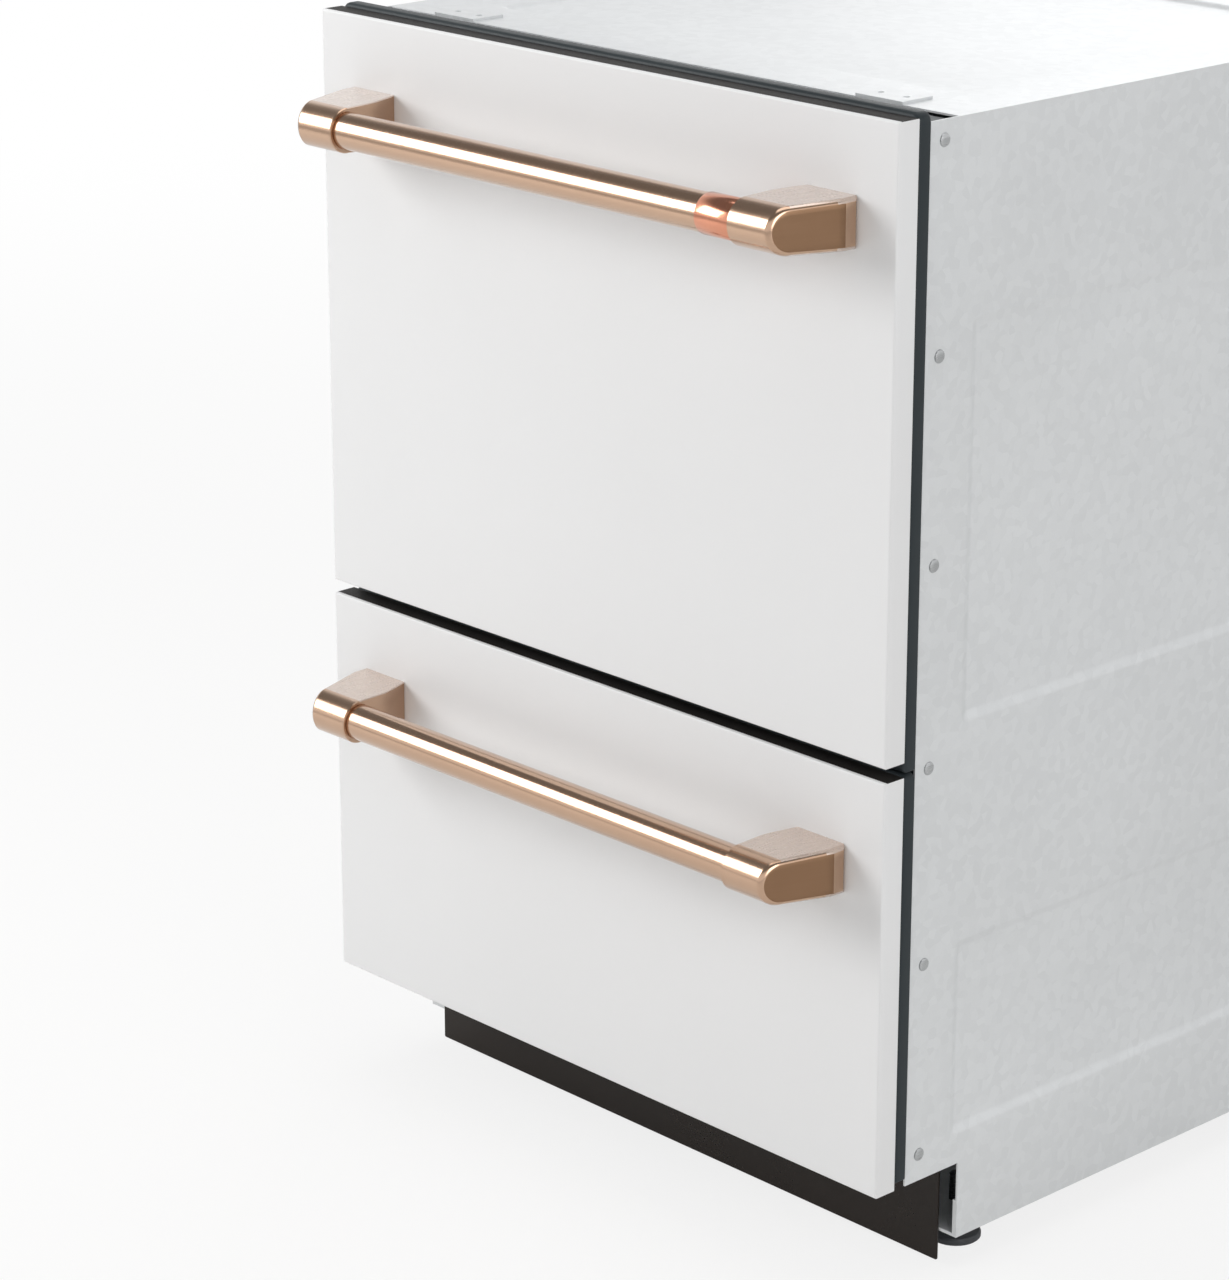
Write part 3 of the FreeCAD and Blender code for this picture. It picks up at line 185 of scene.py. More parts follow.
rolled = dict(dark="#A9ABAC", light="#C2C4C5", metal=1, rough=(0.24, 0.38), grain=(1, 90, 1), depth=0.003,
              patch=80)
finishes = {
    # powder coat on steel: a fine orange peel that the eye takes as an even matt white
    "whitePowderCoat": dict(dark="#E9E9E9", light="#EDEDED", rough=(0.44, 0.52), grain=1.6, depth=0.012,
                            patch=240),
    # ABS, moulded in slate: satin, with a faint sheen on every rounded edge
    "slateAbs": dict(dark="#2A3033", light="#31383B", rough=(0.4, 0.5), grain=1.4, depth=0.02, patch=90,
                     specular=0.22),
    # the same moulding left matt, as the cap in the top of each front
    "matteAbs": dict(dark="#232120", light="#2B2927", rough=(0.55, 0.66), grain=1.4, depth=0.02, patch=90,
                     specular=0.16),
    # stainless steel under a bronze vapour coat, turned: fine rings round the bar, drawn 1 mm wide to show
    "turnedBronze": dict(dark="#C09F85", light="#C8A78E", metal=1, rough=(0.15, 0.19), grain=(1, 70, 70),
                         depth=0.0004, patch=160, coat=0.5),
    # the same coat on cast ends, brushed: faint lines that soften what they reflect
    "brushedBronze": dict(dark="#C09F85", light="#C8A78E", metal=1, rough=(0.18, 0.22), grain=(18, 40, 1.1),
                          depth=0.0002, patch=120, coat=0.5),
    # their flat tops and undersides, brushed along the depth and painted paler than the rest: a painted
    # highlight for the light their tops catch
    "satinBronze": dict(dark="#CFBBAE", light="#D6C3B6", metal=1, rough=(0.26, 0.29), grain=(1.1, 30, 1.1),
                        depth=0.00005, patch=90, coat=1),
    # their end faces, with coarser brushing, painted darker and browner than the rest: painted shade for the
    # little light they catch
    "endBronze": dict(dark="#8A6B52", light="#93745B", metal=1, rough=(0.32, 0.38), grain=(18, 40, 1.1),
                      depth=0.0004, patch=60),
    # copper, polished on the lathe: a warm mirror with hardly visible rings
    "polishedCopper": dict(dark="#D58F72", light="#E2A084", metal=1, rough=(0.13, 0.18), grain=(0.9, 50, 50),
                           depth=0.0006, patch=60),
    # hot-dip zinc on steel: crystals about 7 mm across, each with its own grey
    "spangledZinc": dict(dark="#D8DADB", light="#E6E8E9", metal=0.4, rough=(0.36, 0.5), grain=1.2,
                         depth=0.006, patch=260, crystal=7),
    # dark brown satin enamel on steel, slightly uneven from the spray
    "brownBlackEnamel": dict(dark="#201914", light="#2A221C", rough=(0.14, 0.2), grain=2.2, depth=0.002,
                             patch=70, specular=0.3),
    # polypropylene, moulded in pale grey: soft sheen and a slight cloudiness
    "greyPolypropylene": dict(dark="#B6BABC", light="#C1C5C7", rough=(0.36, 0.48), grain=2, depth=0.03,
                              patch=110),
    # polypropylene filled with talc, moulded: darker and duller, with a faint flow pattern
    "talcPolypropylene": dict(dark="#868B8F", light="#92979B", rough=(0.38, 0.5), grain=2.4, depth=0.03,
                              patch=60),
    # nylon dipped over wire: smooth, slightly thick at the crossings
    "dippedNylon": dict(dark="#7F868B", light="#8E9599", rough=(0.3, 0.42), grain=3.5, depth=0.05, patch=45),
    # cold-rolled stainless steel: long fine rolling lines, drawn 1 mm wide to show
    "rolledStainless": rolled,
    # the same steel punched for the filter: round holes 3.2 mm apart, not cut but drawn as dark dots of
    # painted shade
    "punchedStainless": {**rolled, "holes": 3.2},
    # polypropylene filled with glass, moulded: black and matt, with a faint flow pattern
    "glassFilledBlack": dict(dark="#191A1B", light="#25272A", rough=(0.46, 0.6), grain=2.6, depth=0.04,
                             patch=50),
    # EPDM, extruded: dull, soft-looking black
    "epdmRubber": dict(dark="#1C1C1D", light="#282829", rough=(0.6, 0.74), grain=1.2, depth=0.03, patch=40),
    # polyamide, moulded: mid grey and hard-wearing
    "greyPolyamide": dict(dark="#3C3E41", light="#4A4C4F", rough=(0.42, 0.56), grain=1.6, depth=0.04,
                          patch=30),
    # ABS, moulded in a polished tool: glossy keys
    "glossKey": dict(dark="#54585D", light="#60646A", rough=(0.16, 0.24), grain=1.2, depth=0.006, patch=20),
    # acetal, moulded: off-white and waxy
    "whiteAcetal": dict(dark="#D3D1CB", light="#E0DED8", rough=(0.34, 0.44), grain=1.8, depth=0.03, patch=30),
}
pattern = {
    "grainDetail": 2, "grainRoughness": 0.55, "patchDetail": 3,
    "grainShare": 0.5, "crystalShare": 0.4,    # how much of the way between the two colours each can add
    "grainEnds": (0.3, 0.7),                   # the fine noise that gives the two ends of the roughness
    "holeEdge": (0.24, 0.32), "holeColour": "#1A1B1C", "coatRough": 0.12,
}

def makeFinish(name, spec):
    # slow noise moves the colour between its two ends; fine noise and, where there are any, one random step
    # for each crystal add share x (value - 1/2); fine noise also sets the roughness and lifts the surface
    material = bpy.data.materials.new(name)
    tree = emptyTree(material)
    place = addNode(tree, "TexCoord").outputs["Object"]
    size = [1 / (length * mm) for length in np.broadcast_to(spec["grain"], 3)]
    grain = addNode(tree, "TexNoise", {"Vector": addNode(tree, "Mapping", {"Vector": place, "Scale": size}),
                                       "Scale": 1, "Detail": pattern["grainDetail"],
                                       "Roughness": pattern["grainRoughness"]})
    step = addNode(tree, "TexNoise", {"Vector": place, "Scale": 1 / (spec["patch"] * mm),
                                      "Detail": pattern["patchDetail"]})
    waves = [(grain, pattern["grainShare"])]
    if "crystal" in spec:
        cells = addNode(tree, "TexVoronoi", {"Vector": place, "Scale": 1 / (spec["crystal"] * mm),
                                             "Randomness": 1}, feature="F1")
        tone = addNode(tree, "SeparateColor", (cells.outputs["Color"],))
        waves.insert(0, (tone, pattern["crystalShare"]))
    for wave, share in waves:
        wave = addNode(tree, "Math", (wave, share, -share / 2), operation="MULTIPLY_ADD")
        step = addNode(tree, "Math", (step, wave), operation="ADD")
    colour = addNode(tree, "Mix", {0: step, 6: toLinear(spec["dark"]), 7: toLinear(spec["light"])},
                     data_type="RGBA").outputs[2]
    # each hole is not cut but drawn as a dark dot, a painted shade for the view through it
    if "holes" in spec:
        dots = addNode(tree, "TexVoronoi", {"Vector": place, "Scale": 1 / (spec["holes"] * mm),
                                            "Randomness": 0}, feature="F1", voronoi_dimensions="2D")
        inside = addNode(tree, "MapRange", (dots, *pattern["holeEdge"], 1, 0))
        colour = addNode(tree, "Mix", {0: inside, 6: colour, 7: toLinear(pattern["holeColour"])},
                         data_type="RGBA").outputs[2]
    rough = addNode(tree, "MapRange", (grain, *pattern["grainEnds"], *spec["rough"]))
    lift = addNode(tree, "Bump", {"Height": grain, "Distance": spec["depth"] * mm, "Strength": 1})
    surface = addNode(tree, "BsdfPrincipled", {
        "Base Color": colour, "Roughness": rough, "Metallic": spec.get("metal", 0), "Normal": lift,
        "Specular IOR Level": spec.get("specular", 0.5), "Coat Weight": spec.get("coat", 0),
        "Coat Roughness": pattern["coatRough"]})
    addNode(tree, "OutputMaterial", (surface,))
    return material

made = {name: makeFinish(name, spec) for name, spec in finishes.items()}
print("finishes ready:", len(made))

# Shapes. A shape is its points, its quads and the number of each quad's finish. facets holds how many sides
# each kind of round shape has.

facets = {"bar": 72, "bowl": 64, "hub": 40, "turned": 32, "blade": 28, "outlet": 28, "screw": 18,
          "nozzle": 14, "shaft": 12, "light": 12, "wire": 8, "collar": 6}

def onceRound(count):
    # evenly spaced angles, each its number x the whole turn / count
    return np.arange(count) * 2 * math.pi / count

def skin(grid, wrap=True):
    # quads of a two-parameter grid: point (i, j) with its neighbours in row i + 1 and column j + 1
    rows, columns = grid.shape[:2]
    i, j = np.meshgrid(np.arange(rows - 1), np.arange(columns if wrap else columns - 1), indexing="ij")
    k = (j + 1) % columns
    quads = np.stack([i * columns + j, i * columns + k, (i + 1) * columns + k, (i + 1) * columns + j], -1)
    return grid.reshape(-1, 3), quads.reshape(-1, 4), np.zeros(quads.size // 4, int)

def ringPoints(xLow, xHigh, yLow, yHigh, r, level, perCorner):
    # each row of these columns is a rounded rectangle whose corners are quarter circles about their own
    # centres, so a radius r as large as the half widths makes the row a circle
    r = np.minimum(r, np.minimum(xHigh - xLow, yHigh - yLow) / 2)
    turn = (np.arange(4)[:, None] * math.pi / 2 + np.linspace(0, math.pi / 2, perCorner)).ravel()
    right = np.repeat([True, False, False, True], perCorner)
    back = np.repeat([True, True, False, False], perCorner)
    x = np.where(right, xHigh - r, xLow + r) + r * np.cos(turn)
    y = np.where(back, yHigh - r, yLow + r) + r * np.sin(turn)
    return np.stack([x, y, np.broadcast_to(level, x.shape)], -1)

def rings(rows, perCorner=5):
    # the skin over rounded rectangles, each given as the six columns of ringPoints
    return skin(ringPoints(*np.array(rows, float).T[:, :, None], perCorner))

def pulledIn(edges, inset, corner, level):
    # a row for rings: the rectangle with those four edges, each moved in by the inset
    return edges[0] + inset, edges[1] - inset, edges[2] + inset, edges[3] - inset, corner, level

def loft(profile, halves, corner, centre, axes, perCorner=5):
    # ring i is a rounded rectangle pulled in by inset i and set at level i, with its corners in the plane of
    # the first two axes; corner may be four radii, one for each corner
    inset, level = np.array(profile, float).T[:, :, None]
    order = ["xyz".index(c) for c in axes]
    a, b = (np.maximum(half - inset, 0) for half in halves)
    x, y = np.array(centre)[order[:2]]
    r = np.maximum(np.repeat(np.broadcast_to(corner, 4), perCorner) - inset, 0.01)
    grid = ringPoints(x - a, x + a, y - b, y + b, r, level, perCorner)
    return skin(grid[..., np.argsort(order)])

def quarter(radius, count):
    # a quarter round between two faces, as the distances radius x (1 - sine) and radius x (1 - cosine)
    turn = np.linspace(0, math.pi / 2, count)
    return radius * np.stack([1 - np.sin(turn), 1 - np.cos(turn)], -1)

def slabProfile(start, end, startRound, endRound, half, near=0.25):
    # from the middle of the first face out to its edge, a quarter round, along the side, another quarter
    # round and in to the middle of the last face
    way = math.copysign(1, end - start)
    return np.concatenate([[(half, start), (startRound + near, start)],
                           quarter(startRound, 5) * (1, way) + (0, start),
                           quarter(endRound, 5)[:, ::-1] * (1, -way) + (0, end),
                           [(endRound + near, end), (half, end)]])

def slab(low, high, thin="z", edges=(1, 1), corner=2, perCorner=4):
    # a box with every edge rounded, lofted along its thin direction
    low, high = np.array(low, float), np.array(high, float)
    axes = {"x": "yzx", "y": "xzy", "z": "xyz"}[thin]
    order = ["xyz".index(c) for c in axes]
    halves = ((high - low) / 2)[order[:2]]
    profile = slabProfile(low[order[2]], high[order[2]], *edges, min(halves))
    return loft(profile, halves, corner, (low + high) / 2, axes, perCorner)

def turned(profile, centre, axis="z", kind="turned"):
    # each ring is a circle of the profile's radius at the profile's place along the axis, with as many sides
    # as its kind has
    place, radius = np.array(profile, float).T[:, :, None]
    turn = onceRound(facets[kind])
    grid = np.stack(np.broadcast_arrays(radius * np.cos(turn), radius * np.sin(turn), place), -1)
    return skin(np.roll(grid, "zxy".index(axis), -1) + centre)

def bentPath(corners, radius, steps=5):
    # straight runs between the corners, with a quadratic curve of about the radius at each inner one
    corners = np.array(corners, float)
    points = [corners[0]]
    for before, here, after in zip(corners[:-2], corners[1:-1], corners[2:]):
        start, end = (here + way / np.linalg.norm(way) * radius for way in (before - here, after - here))
        t = np.linspace(0, 1, steps)[:, None]
        points.extend((1 - t) ** 2 * start + 2 * t * (1 - t) * here + t ** 2 * end)
    points.append(corners[-1])
    return np.array(points)

def wire(path, radius, across, kind="wire", closed=False):
    # a circle carried along the path: across is square to the whole path, and the second direction to both;
    # an open path gets two more rings at each end that close it as a dome
    path = np.array(path, float)
    if closed:
        way = np.roll(path, -1, 0) - np.roll(path, 1, 0)
        path, way = np.concatenate([path, path[:1]]), np.concatenate([way, way[:1]])
        scale, shift = np.ones(len(path)), np.zeros(len(path))
    else:
        way = np.gradient(path, axis=0)
        order = [0, 0, *range(len(path)), -1, -1]
        scale = np.concatenate([[0, 0.7], np.ones(len(path)), [0.7, 0]])
        shift = np.concatenate([[-1, -0.7], np.zeros(len(path)), [0.7, 1]])
        path, way = path[order], way[order]
    way = way / np.linalg.norm(way, axis=1, keepdims=True)
    across = np.broadcast_to(np.array(across, float), path.shape)
    other = np.cross(way, across)
    turn = onceRound(facets[kind])[:, None]
    ring = across[:, None] * np.cos(turn) + other[:, None] * np.sin(turn)
    return skin(path[:, None] + radius * (scale[:, None, None] * ring + (shift[:, None] * way)[:, None]))

def straight(start, end, radius, kind="wire"):
    # a wire with rounded ends along one of the three axes
    run = np.abs(np.array(end, float) - np.array(start, float))
    across = (0, 0, 1) if run[2] < max(run[:2]) else (1, 0, 0)
    return wire([start, end], radius, across, kind)

def mirrored(shape):
    # the same shape on the other side of the middle plane, with its quads turned round
    points, quads, paint = shape
    return points * (-1, 1, 1), quads[:, ::-1], paint

def painted(shape, number):
    # the same shape, all in the finish of that number
    return shape[0], shape[1], np.full(len(shape[1]), number)

def thickened(points, quads, offset):
    # the surface, its copy moved by the offset, and a wall along every edge that only one quad uses
    edges = np.concatenate([quads[:, [0, 1]], quads[:, [1, 2]], quads[:, [2, 3]], quads[:, [3, 0]]])
    _, first, count = np.unique(np.sort(edges, 1), axis=0, return_index=True, return_counts=True)
    rim = edges[first[count == 1]]
    n = len(points)
    walls = np.stack([rim[:, 1], rim[:, 0], rim[:, 0] + n, rim[:, 1] + n], -1)
    quads = np.concatenate([quads, quads[:, ::-1] + n, walls])
    return np.concatenate([points, points + offset]), quads, np.zeros(len(quads), int)

def inner(start, end, count):
    # evenly spaced places from start to end, without these two
    return np.linspace(start, end, count)[1:-1]

def addPiece(name, shapes, body, node, *finishNames):
    # one mesh of all the shapes, its doubled points merged and its faces turned outwards
    counts = np.cumsum([0] + [len(shape[0]) for shape in shapes])
    points = np.concatenate([shape[0] for shape in shapes]) * mm
    quads = np.concatenate([shape[1] + start for shape, start in zip(shapes, counts)])
    paint = np.concatenate([shape[2] for shape in shapes])
    mesh = bpy.data.meshes.new(name)
    mesh.from_pydata(points.tolist(), [], quads.tolist())
    mesh.polygons.foreach_set("material_index", paint.astype(np.int32))
    for finishName in finishNames:
        mesh.materials.append(made[finishName])
    work = bmesh.new()
    work.from_mesh(mesh)
    bmesh.ops.remove_doubles(work, verts=work.verts, dist=mergeDistance)
    bmesh.ops.recalc_face_normals(work, faces=work.faces)
    work.to_mesh(mesh)
    work.free()
    mesh.polygons.foreach_set("use_smooth", np.ones(len(mesh.polygons), bool))
    mesh.set_sharp_from_angle(angle=flatAngle)
    piece = addObject(name, mesh)
    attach(piece, body)
    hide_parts(node)

def nodeBox(node):
    # a node's lowest and highest corners at rest, in millimetres
    low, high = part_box(node)
    return np.array(low) / mm, np.array(high) / mm

def edgesOf(low, high):
    # the four edges of a box seen from above
    return low[0], high[0], low[1], high[1]

def addPieces(side, rows):
    # each row is a piece's name, its node and its body, all without the side, then the function that makes
    # its shapes from the node's box, and its finishes
    for name, node, body, build, *finishNames in rows:
        shapes = build(side, *nodeBox(side + node))
        addPiece(side + name, shapes, side + body, side + node, *finishNames)

# Fronts: a folded steel skin whose top is closed by a dark cap, on a slate door plate

front = {"edge": 1.6, "backEdge": 0.9, "rim": 2.8, "corner": 0.8, "capInset": 0.3, "capBack": 0.1}
door = {"thick": 12, "edge": 3.2, "backEdge": 1.6, "corners": (7, 7, 1.6, 1.6),
        "ribs": (-180, 180), "ribHalf": 6, "ribEdges": (2, 2), "ribSink": 1}

def frontSkin(side, low, high):
    # a slab lofted from the back to the face, with one more ring where the white rim ends; the quads of its
    # top that lie behind this ring are the cap
    halves = (high - low)[[0, 2]] / 2
    rimEnd = low[1] + front["rim"]
    profile = slabProfile(high[1], low[1], front["backEdge"], front["edge"], min(halves))
    profile = np.insert(profile, np.searchsorted(-profile[:, 1], -rimEnd), (0, rimEnd), axis=0)
    shape = loft(profile, halves, front["corner"], (low + high) / 2, "xzy", 3)
    x, y, z = shape[0][shape[1]].mean(1).T
    cap = (z > high[2] - front["capInset"]) & (np.abs(x) < halves[0] - front["capInset"])
    shape[2][cap & (y > rimEnd) & (y < high[1] - front["capBack"])] = 1
    return [shape]

def doorPlate(side, low, high):
    # a slab with larger corners at its top, and two upright ribs that reach back to the tub
    back = nodeBox(side + "_front_panel")[1][1] + door["thick"]
    foot, head = nodeBox(side + "_tub")[0][2], nodeBox(side + "_control_strip")[0][2]
    halves = (high - low)[[0, 2]] / 2
    profile = slabProfile(back, low[1], door["backEdge"], door["edge"], min(halves))
    shapes = [loft(profile, halves, door["corners"], (low + high) / 2, "xzy", 7)]
    for x in door["ribs"]:
        shapes.append(slab((x - door["ribHalf"], back - door["ribSink"], foot),
                           (x + door["ribHalf"], high[1], head), "x", door["ribEdges"], 1))
    return shapes

for side in sides:
    addPieces(side, [("FrontSkin", "_front_panel", "_drawer", frontSkin, "whitePowderCoat", "matteAbs"),
                     ("DoorPlate", "_inner_door", "_drawer", doorPlate, "slateAbs")])
print("fronts ready")

# Handles: a round bar between two cast ends, and a copper band on the upper bar. rimBend is how far in and
# how far back the middle of the rim's bend lies, and flatEdge how far over the rim the flat top begins, all
# as shares of the rim.

handle = {"barRadius": 14, "sleeveRadius": 17, "axis": 52, "baseHalf": 18.5, "straight": 12.5, "lean": 17,
          "baseOut": 264, "baseIn": 215, "sleeveIn": 207.5, "insert": 18, "rim": 3.0, "innerRim": 0.7,
          "rimBack": 0.4, "rimBend": (0.42, 0.32), "flatEdge": 0.4, "groove": 0.7, "grooveSlope": 0.3}
band = {"gap": 0.02, "radius": 14.8, "edge": 0.5, "bend": 0.3}

def halfOutline(inset):
    # half of a D, as depth and height: straight from the base to the fold, on to where the round starts,
    # then a quarter of a circle to the nose, all pulled in by the inset
    radius = handle["sleeveRadius"] - inset
    slope = (handle["sleeveRadius"] - handle["baseHalf"]) / handle["axis"]
    depth = np.concatenate([np.linspace(inset, handle["straight"], 3),
                            inner(handle["straight"], handle["axis"], 8)])
    turn = np.linspace(math.pi / 2, 0, 15)
    height = handle["baseHalf"] + slope * depth - inset
    return (np.concatenate([depth, handle["axis"] + radius * np.cos(turn)]),
            np.concatenate([height, radius * np.sin(turn)]))

def endPlane(depth):
    # how far out the end face stands: straight near the front, then leaning in
    nose = handle["axis"] + handle["sleeveRadius"]
    lean = handle["lean"] / (nose - handle["straight"])
    return handle["baseOut"] - lean * np.maximum(depth - handle["straight"], 0)

def innerPlane(depth):
    # how far out the inner face stands: it comes in until half the depth
    way = np.clip(depth / (handle["axis"] / 2), 0, 1)
    return handle["baseIn"] + (handle["sleeveIn"] - handle["baseIn"]) * way

def castEnds(side, low, high):
    # hoops round the whole D, each with its inset, its share of the way out and a step along x, then the two
    # faces, whose rows run straight from the lower edge to the upper one; the left end mirrors the right one
    faceY, level = nodeBox(side + "_front_panel")[0][1], np.mean(nodeBox(side + "_handle_bar"), 0)[2]
    rim, edge = handle["rim"], handle["innerRim"]
    bendInset, bendStep = rim * np.array(handle["rimBend"])
    hoops = []
    for inset, outward, step in ((edge, 0, 0), (0, 0, edge), (0, 0.5, 0), (0, 1, -rim - handle["rimBack"]),
                                 (0, 1, -rim), (bendInset, 1, -bendStep), (rim, 1, 0)):
        depth, height = halfOutline(inset)
        depth, height = np.concatenate([depth, depth[::-1]]), np.concatenate([height, -height[::-1]])
        x = innerPlane(depth) * (1 - outward) + endPlane(depth) * outward + step
        hoops.append(np.stack([x, faceY - depth, level + height], -1))
    shell = skin(np.array(hoops))
    _, y, z = shell[0][shell[1]].mean(1).T
    flat = (y < faceY) & (faceY - y < handle["axis"])
    # the flat top and underside take the paler copy of the coat, a painted highlight
    shell[2][flat & (np.abs(z - level) > handle["sleeveRadius"] - rim * handle["flatEdge"])] = 2
    shapes = [shell]
    across = np.linspace(-1, 1, 9)[None, :]
    for plane, inset in ((innerPlane, edge), (endPlane, rim)):
        depth, height = halfOutline(inset)
        face = skin(np.stack(np.broadcast_arrays(plane(depth)[:, None], faceY - depth[:, None],
                                                 level + height[:, None] * across), -1), wrap=False)
        # on the end face, the part past the straight start takes the darker copy of the coat, a painted shade
        if plane is endPlane:
            face[2][faceY - face[0][face[1]].mean(1)[:, 1] > handle["straight"]] = 1
        shapes.append(face)
    return shapes + [mirrored(shape) for shape in shapes]

def roundBar(side, low, high):
    # turned about its own axis, thinner by the groove's depth from beside each sleeve to its end
    _, y, z = (low + high) / 2
    radius, end, groove = handle["barRadius"], handle["sleeveIn"], handle["groove"]
    tip = end + handle["insert"]
    half = [(tip, 0), (tip, radius - groove), (end - groove, radius - groove),
            (end - groove - handle["grooveSlope"], radius), (0, radius)]
    return [turned([(-x, r) for x, r in half] + half[::-1][1:], (0, y, z), "x", "bar")]

def copperBand(side, low, high):
    # a thin sleeve turned about the bar's axis, its two outer edges bevelled in two steps
    bore, outer, edge = handle["barRadius"] + band["gap"], band["radius"], band["edge"]
    half, bend = (high - low)[0] / 2, edge * band["bend"]
    right = [(half - edge, outer), (half - bend, outer - bend), (half, outer - edge), (half, bore)]
    left = [(-x, r) for x, r in right[::-1]]
    return [turned(left + right + left[:1], (low + high) / 2, "x", "bar")]

for side in sides:
    addPieces(side, [("Bar", "_handle_bar", "_drawer", roundBar, "turnedBronze"),
                     ("BarEnds", "_handle_brackets", "_drawer", castEnds, "brushedBronze", "endBronze",
                      "satinBronze")])
addPieces("", [("copperBand", "upper_handle_band", "upper_drawer", copperBand, "polishedCopper")])
print("handles ready")

# Chassis: pressed sheets, screws, toe kick and feet. A field is the two spans, along the sheet's two long
# directions, that are pressed in.

sheet = {"slope": 9, "press": 3, "notch": (-161, 89),
         "side": [((-172, 276), (112, 268)), ((-172, 276), (432, 728))],
         "back": [((-252, 252), (134, 404)), ((-252, 252), (452, 820))],
         "top": [((-236, 236), (-132, 284))]}
toe = {"edges": (0.7, 0.7), "corner": 1.5}
screw = {"inset": 14, "rows": 6, "radius": 5, "height": 1.6, "power": 0.8, "sink": 0.4}
footing = {"stem": 5, "thread": 0.55, "pitch": 2, "collar": 9, "collarHeight": 7,
           "pad": ((0, 1), (1, 0), (4, 0), (5.4, 1.2), (6, 4))}      # height, and how far inside its radius

def pressedSheet(low, high, thin, inward, fields, notch=None):
    # a grid over the sheet's two long directions, pushed in by the product of two smooth windows per field
    first, second = (a for a in range(3) if a != thin)
    slope = sheet["slope"]
    lines = []
    for k, a in enumerate((first, second)):
        marks = [low[a], high[a]]
        for field in fields:
            start, end = field[k]
            marks += [*np.linspace(start, start + slope, 7), *np.linspace(end - slope, end, 7)]
        if notch:
            marks.append(notch[k])
        lines.append(np.unique(np.round(marks, 3)))
    u, v = np.meshgrid(*lines, indexing="ij")
    depth = np.zeros_like(u)
    for field in fields:
        window = np.ones_like(u)
        for (start, end), p in zip(field, (u, v)):
            way = np.clip(np.minimum(p - start, end - p) / slope, 0, 1)
            window = window * way * way * (3 - 2 * way)
        depth = np.maximum(depth, sheet["press"] * window)
    grid = np.zeros(u.shape + (3,))
    grid[..., first], grid[..., second] = u, v
    grid[..., thin] = (low if inward > 0 else high)[thin] + inward * depth
    points, quads, _ = skin(grid, wrap=False)
    if notch:
        middle = points[quads].mean(1)
        quads = quads[~((middle[:, first] < notch[0]) & (middle[:, second] < notch[1]))]
    offset = np.zeros(3)
    offset[thin] = inward * (high[thin] - low[thin])
    return thickened(points, quads, offset)

def screwHeads(side, low, high):
    # domes on both side panels: the radius falls as the cosine, and the height rises as a power of the sine
    low, high = nodeBox("side_panel_right")
    inset, face, radius = screw["inset"], high[0], screw["radius"]
    turn = np.linspace(0, math.pi / 2, 5)
    dome = [(face - screw["sink"], 0), (face - screw["sink"], radius)]
    dome += zip(face + screw["height"] * np.sin(turn) ** screw["power"], radius * np.cos(turn))
    shapes = []
    for y in (low[1] + inset, high[1] - inset):
        for z in np.linspace(nodeBox("back_panel")[0][2] + inset, high[2] - inset, screw["rows"]):
            head = turned(dome, (0, y, z), "x", "screw")
            shapes += [head, mirrored(head)]
    return shapes

def toePlate(side, low, high):
    # a slab with barely rounded edges
    return [slab(low, high, "y", toe["edges"], toe["corner"])]

def levellingFoot(side, low, high):
    # a turned pad and stem, whose radius steps in and out once a pitch, and a hexagonal collar
    x, y, _ = (low + high) / 2
    radius, top = (high - low)[0] / 2, high[2]
    pad, stem, collar, pitch = footing["pad"][-1][0], footing["stem"], footing["collar"], footing["pitch"]
    nut = pad + footing["collarHeight"]
    profile = [(0, 0), *((z, radius - a) for z, a in footing["pad"])]
    profile += [(pad + 0.4, stem + 1), (pad + 0.5, stem)]
    for i in range(int((top - nut - 2) / pitch)):
        start = nut + 1 + i * pitch
        profile += [(start, stem), (start + pitch / 2, stem - footing["thread"])]
    profile += [(top - 1, stem), (top, stem - 1), (top, 0)]
    hexagon = [(pad, 0), (pad, collar), (nut - 0.6, collar), (nut, collar - 0.8), (nut, 0)]
    return [turned(profile, (x, y, low[2])), turned(hexagon, (x, y, low[2]), "z", "collar")]

for name, node, fields, notch, thin, inward in (
        ("leftSideSheet", "side_panel_left", "side", sheet["notch"], 0, 1),
        ("rightSideSheet", "side_panel_right", "side", sheet["notch"], 0, -1),
        ("backSheet", "back_panel", "back", None, 1, -1), ("topSheet", "top_panel", "top", None, 2, -1)):
    shape = pressedSheet(*nodeBox(node), thin, inward, sheet[fields], notch)
    addPiece(name, [shape], "chassis", node, "spangledZinc")
addPieces("", [("screwHeads", "chassis_screws", "chassis", screwHeads, "rolledStainless"),
               ("toePlate", "toe_kick", "chassis", toePlate, "brownBlackEnamel")])
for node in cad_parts:
    if node.startswith("foot_"):
        name = node.replace("_", " ").title().replace(" ", "")
        addPieces("", [(name, node, node, levellingFoot, "greyPolyamide")])
print("chassis ready")

# Tubs, their lids and seals. Each edge of a section is a row of (inset, height) pairs.

tub = {"flange": 8, "wall": 4, "corner": 24, "floorRound": 12, "outerRound": 5, "sumpGap": 0.3,
       "sumpEdge": 0.8, "sumpCorner": 200,       # past half its width, so that the sump is round
       "cornerFall": 0.6, "ledgeDrop": 42, "ledge": ((1.2, 0), (1, 0.6), (0.2, 2.4), (0, 3)),
       "lip": ((0, -1.2), (-0.4, -0.4), (-1.2, 0)),
       "flangeEdge": ((1, 0), (0.3, -0.3), (0, -1), (0, -3.4), (0.6, -4)),
       "ribDrops": (112, 140), "rib": ((0, 4), (-2, 2.4), (-2, -2.4), (0, -4))}
lid = {"lug": 16, "lugLength": 24, "lugSink": 4, "lugCorner": 5, "corner": 10, "edge": 2.2, "flat": 0.5,
       "border": 30, "recess": 3, "slope": ((-0.6, 0), (0, -0.3), (4, -2.7), (4.6, -3)),
       "ribs": (-150, 0, 150), "rib": 3, "ribRise": 2.2, "ribGap": 8, "ribSink": 0.5}
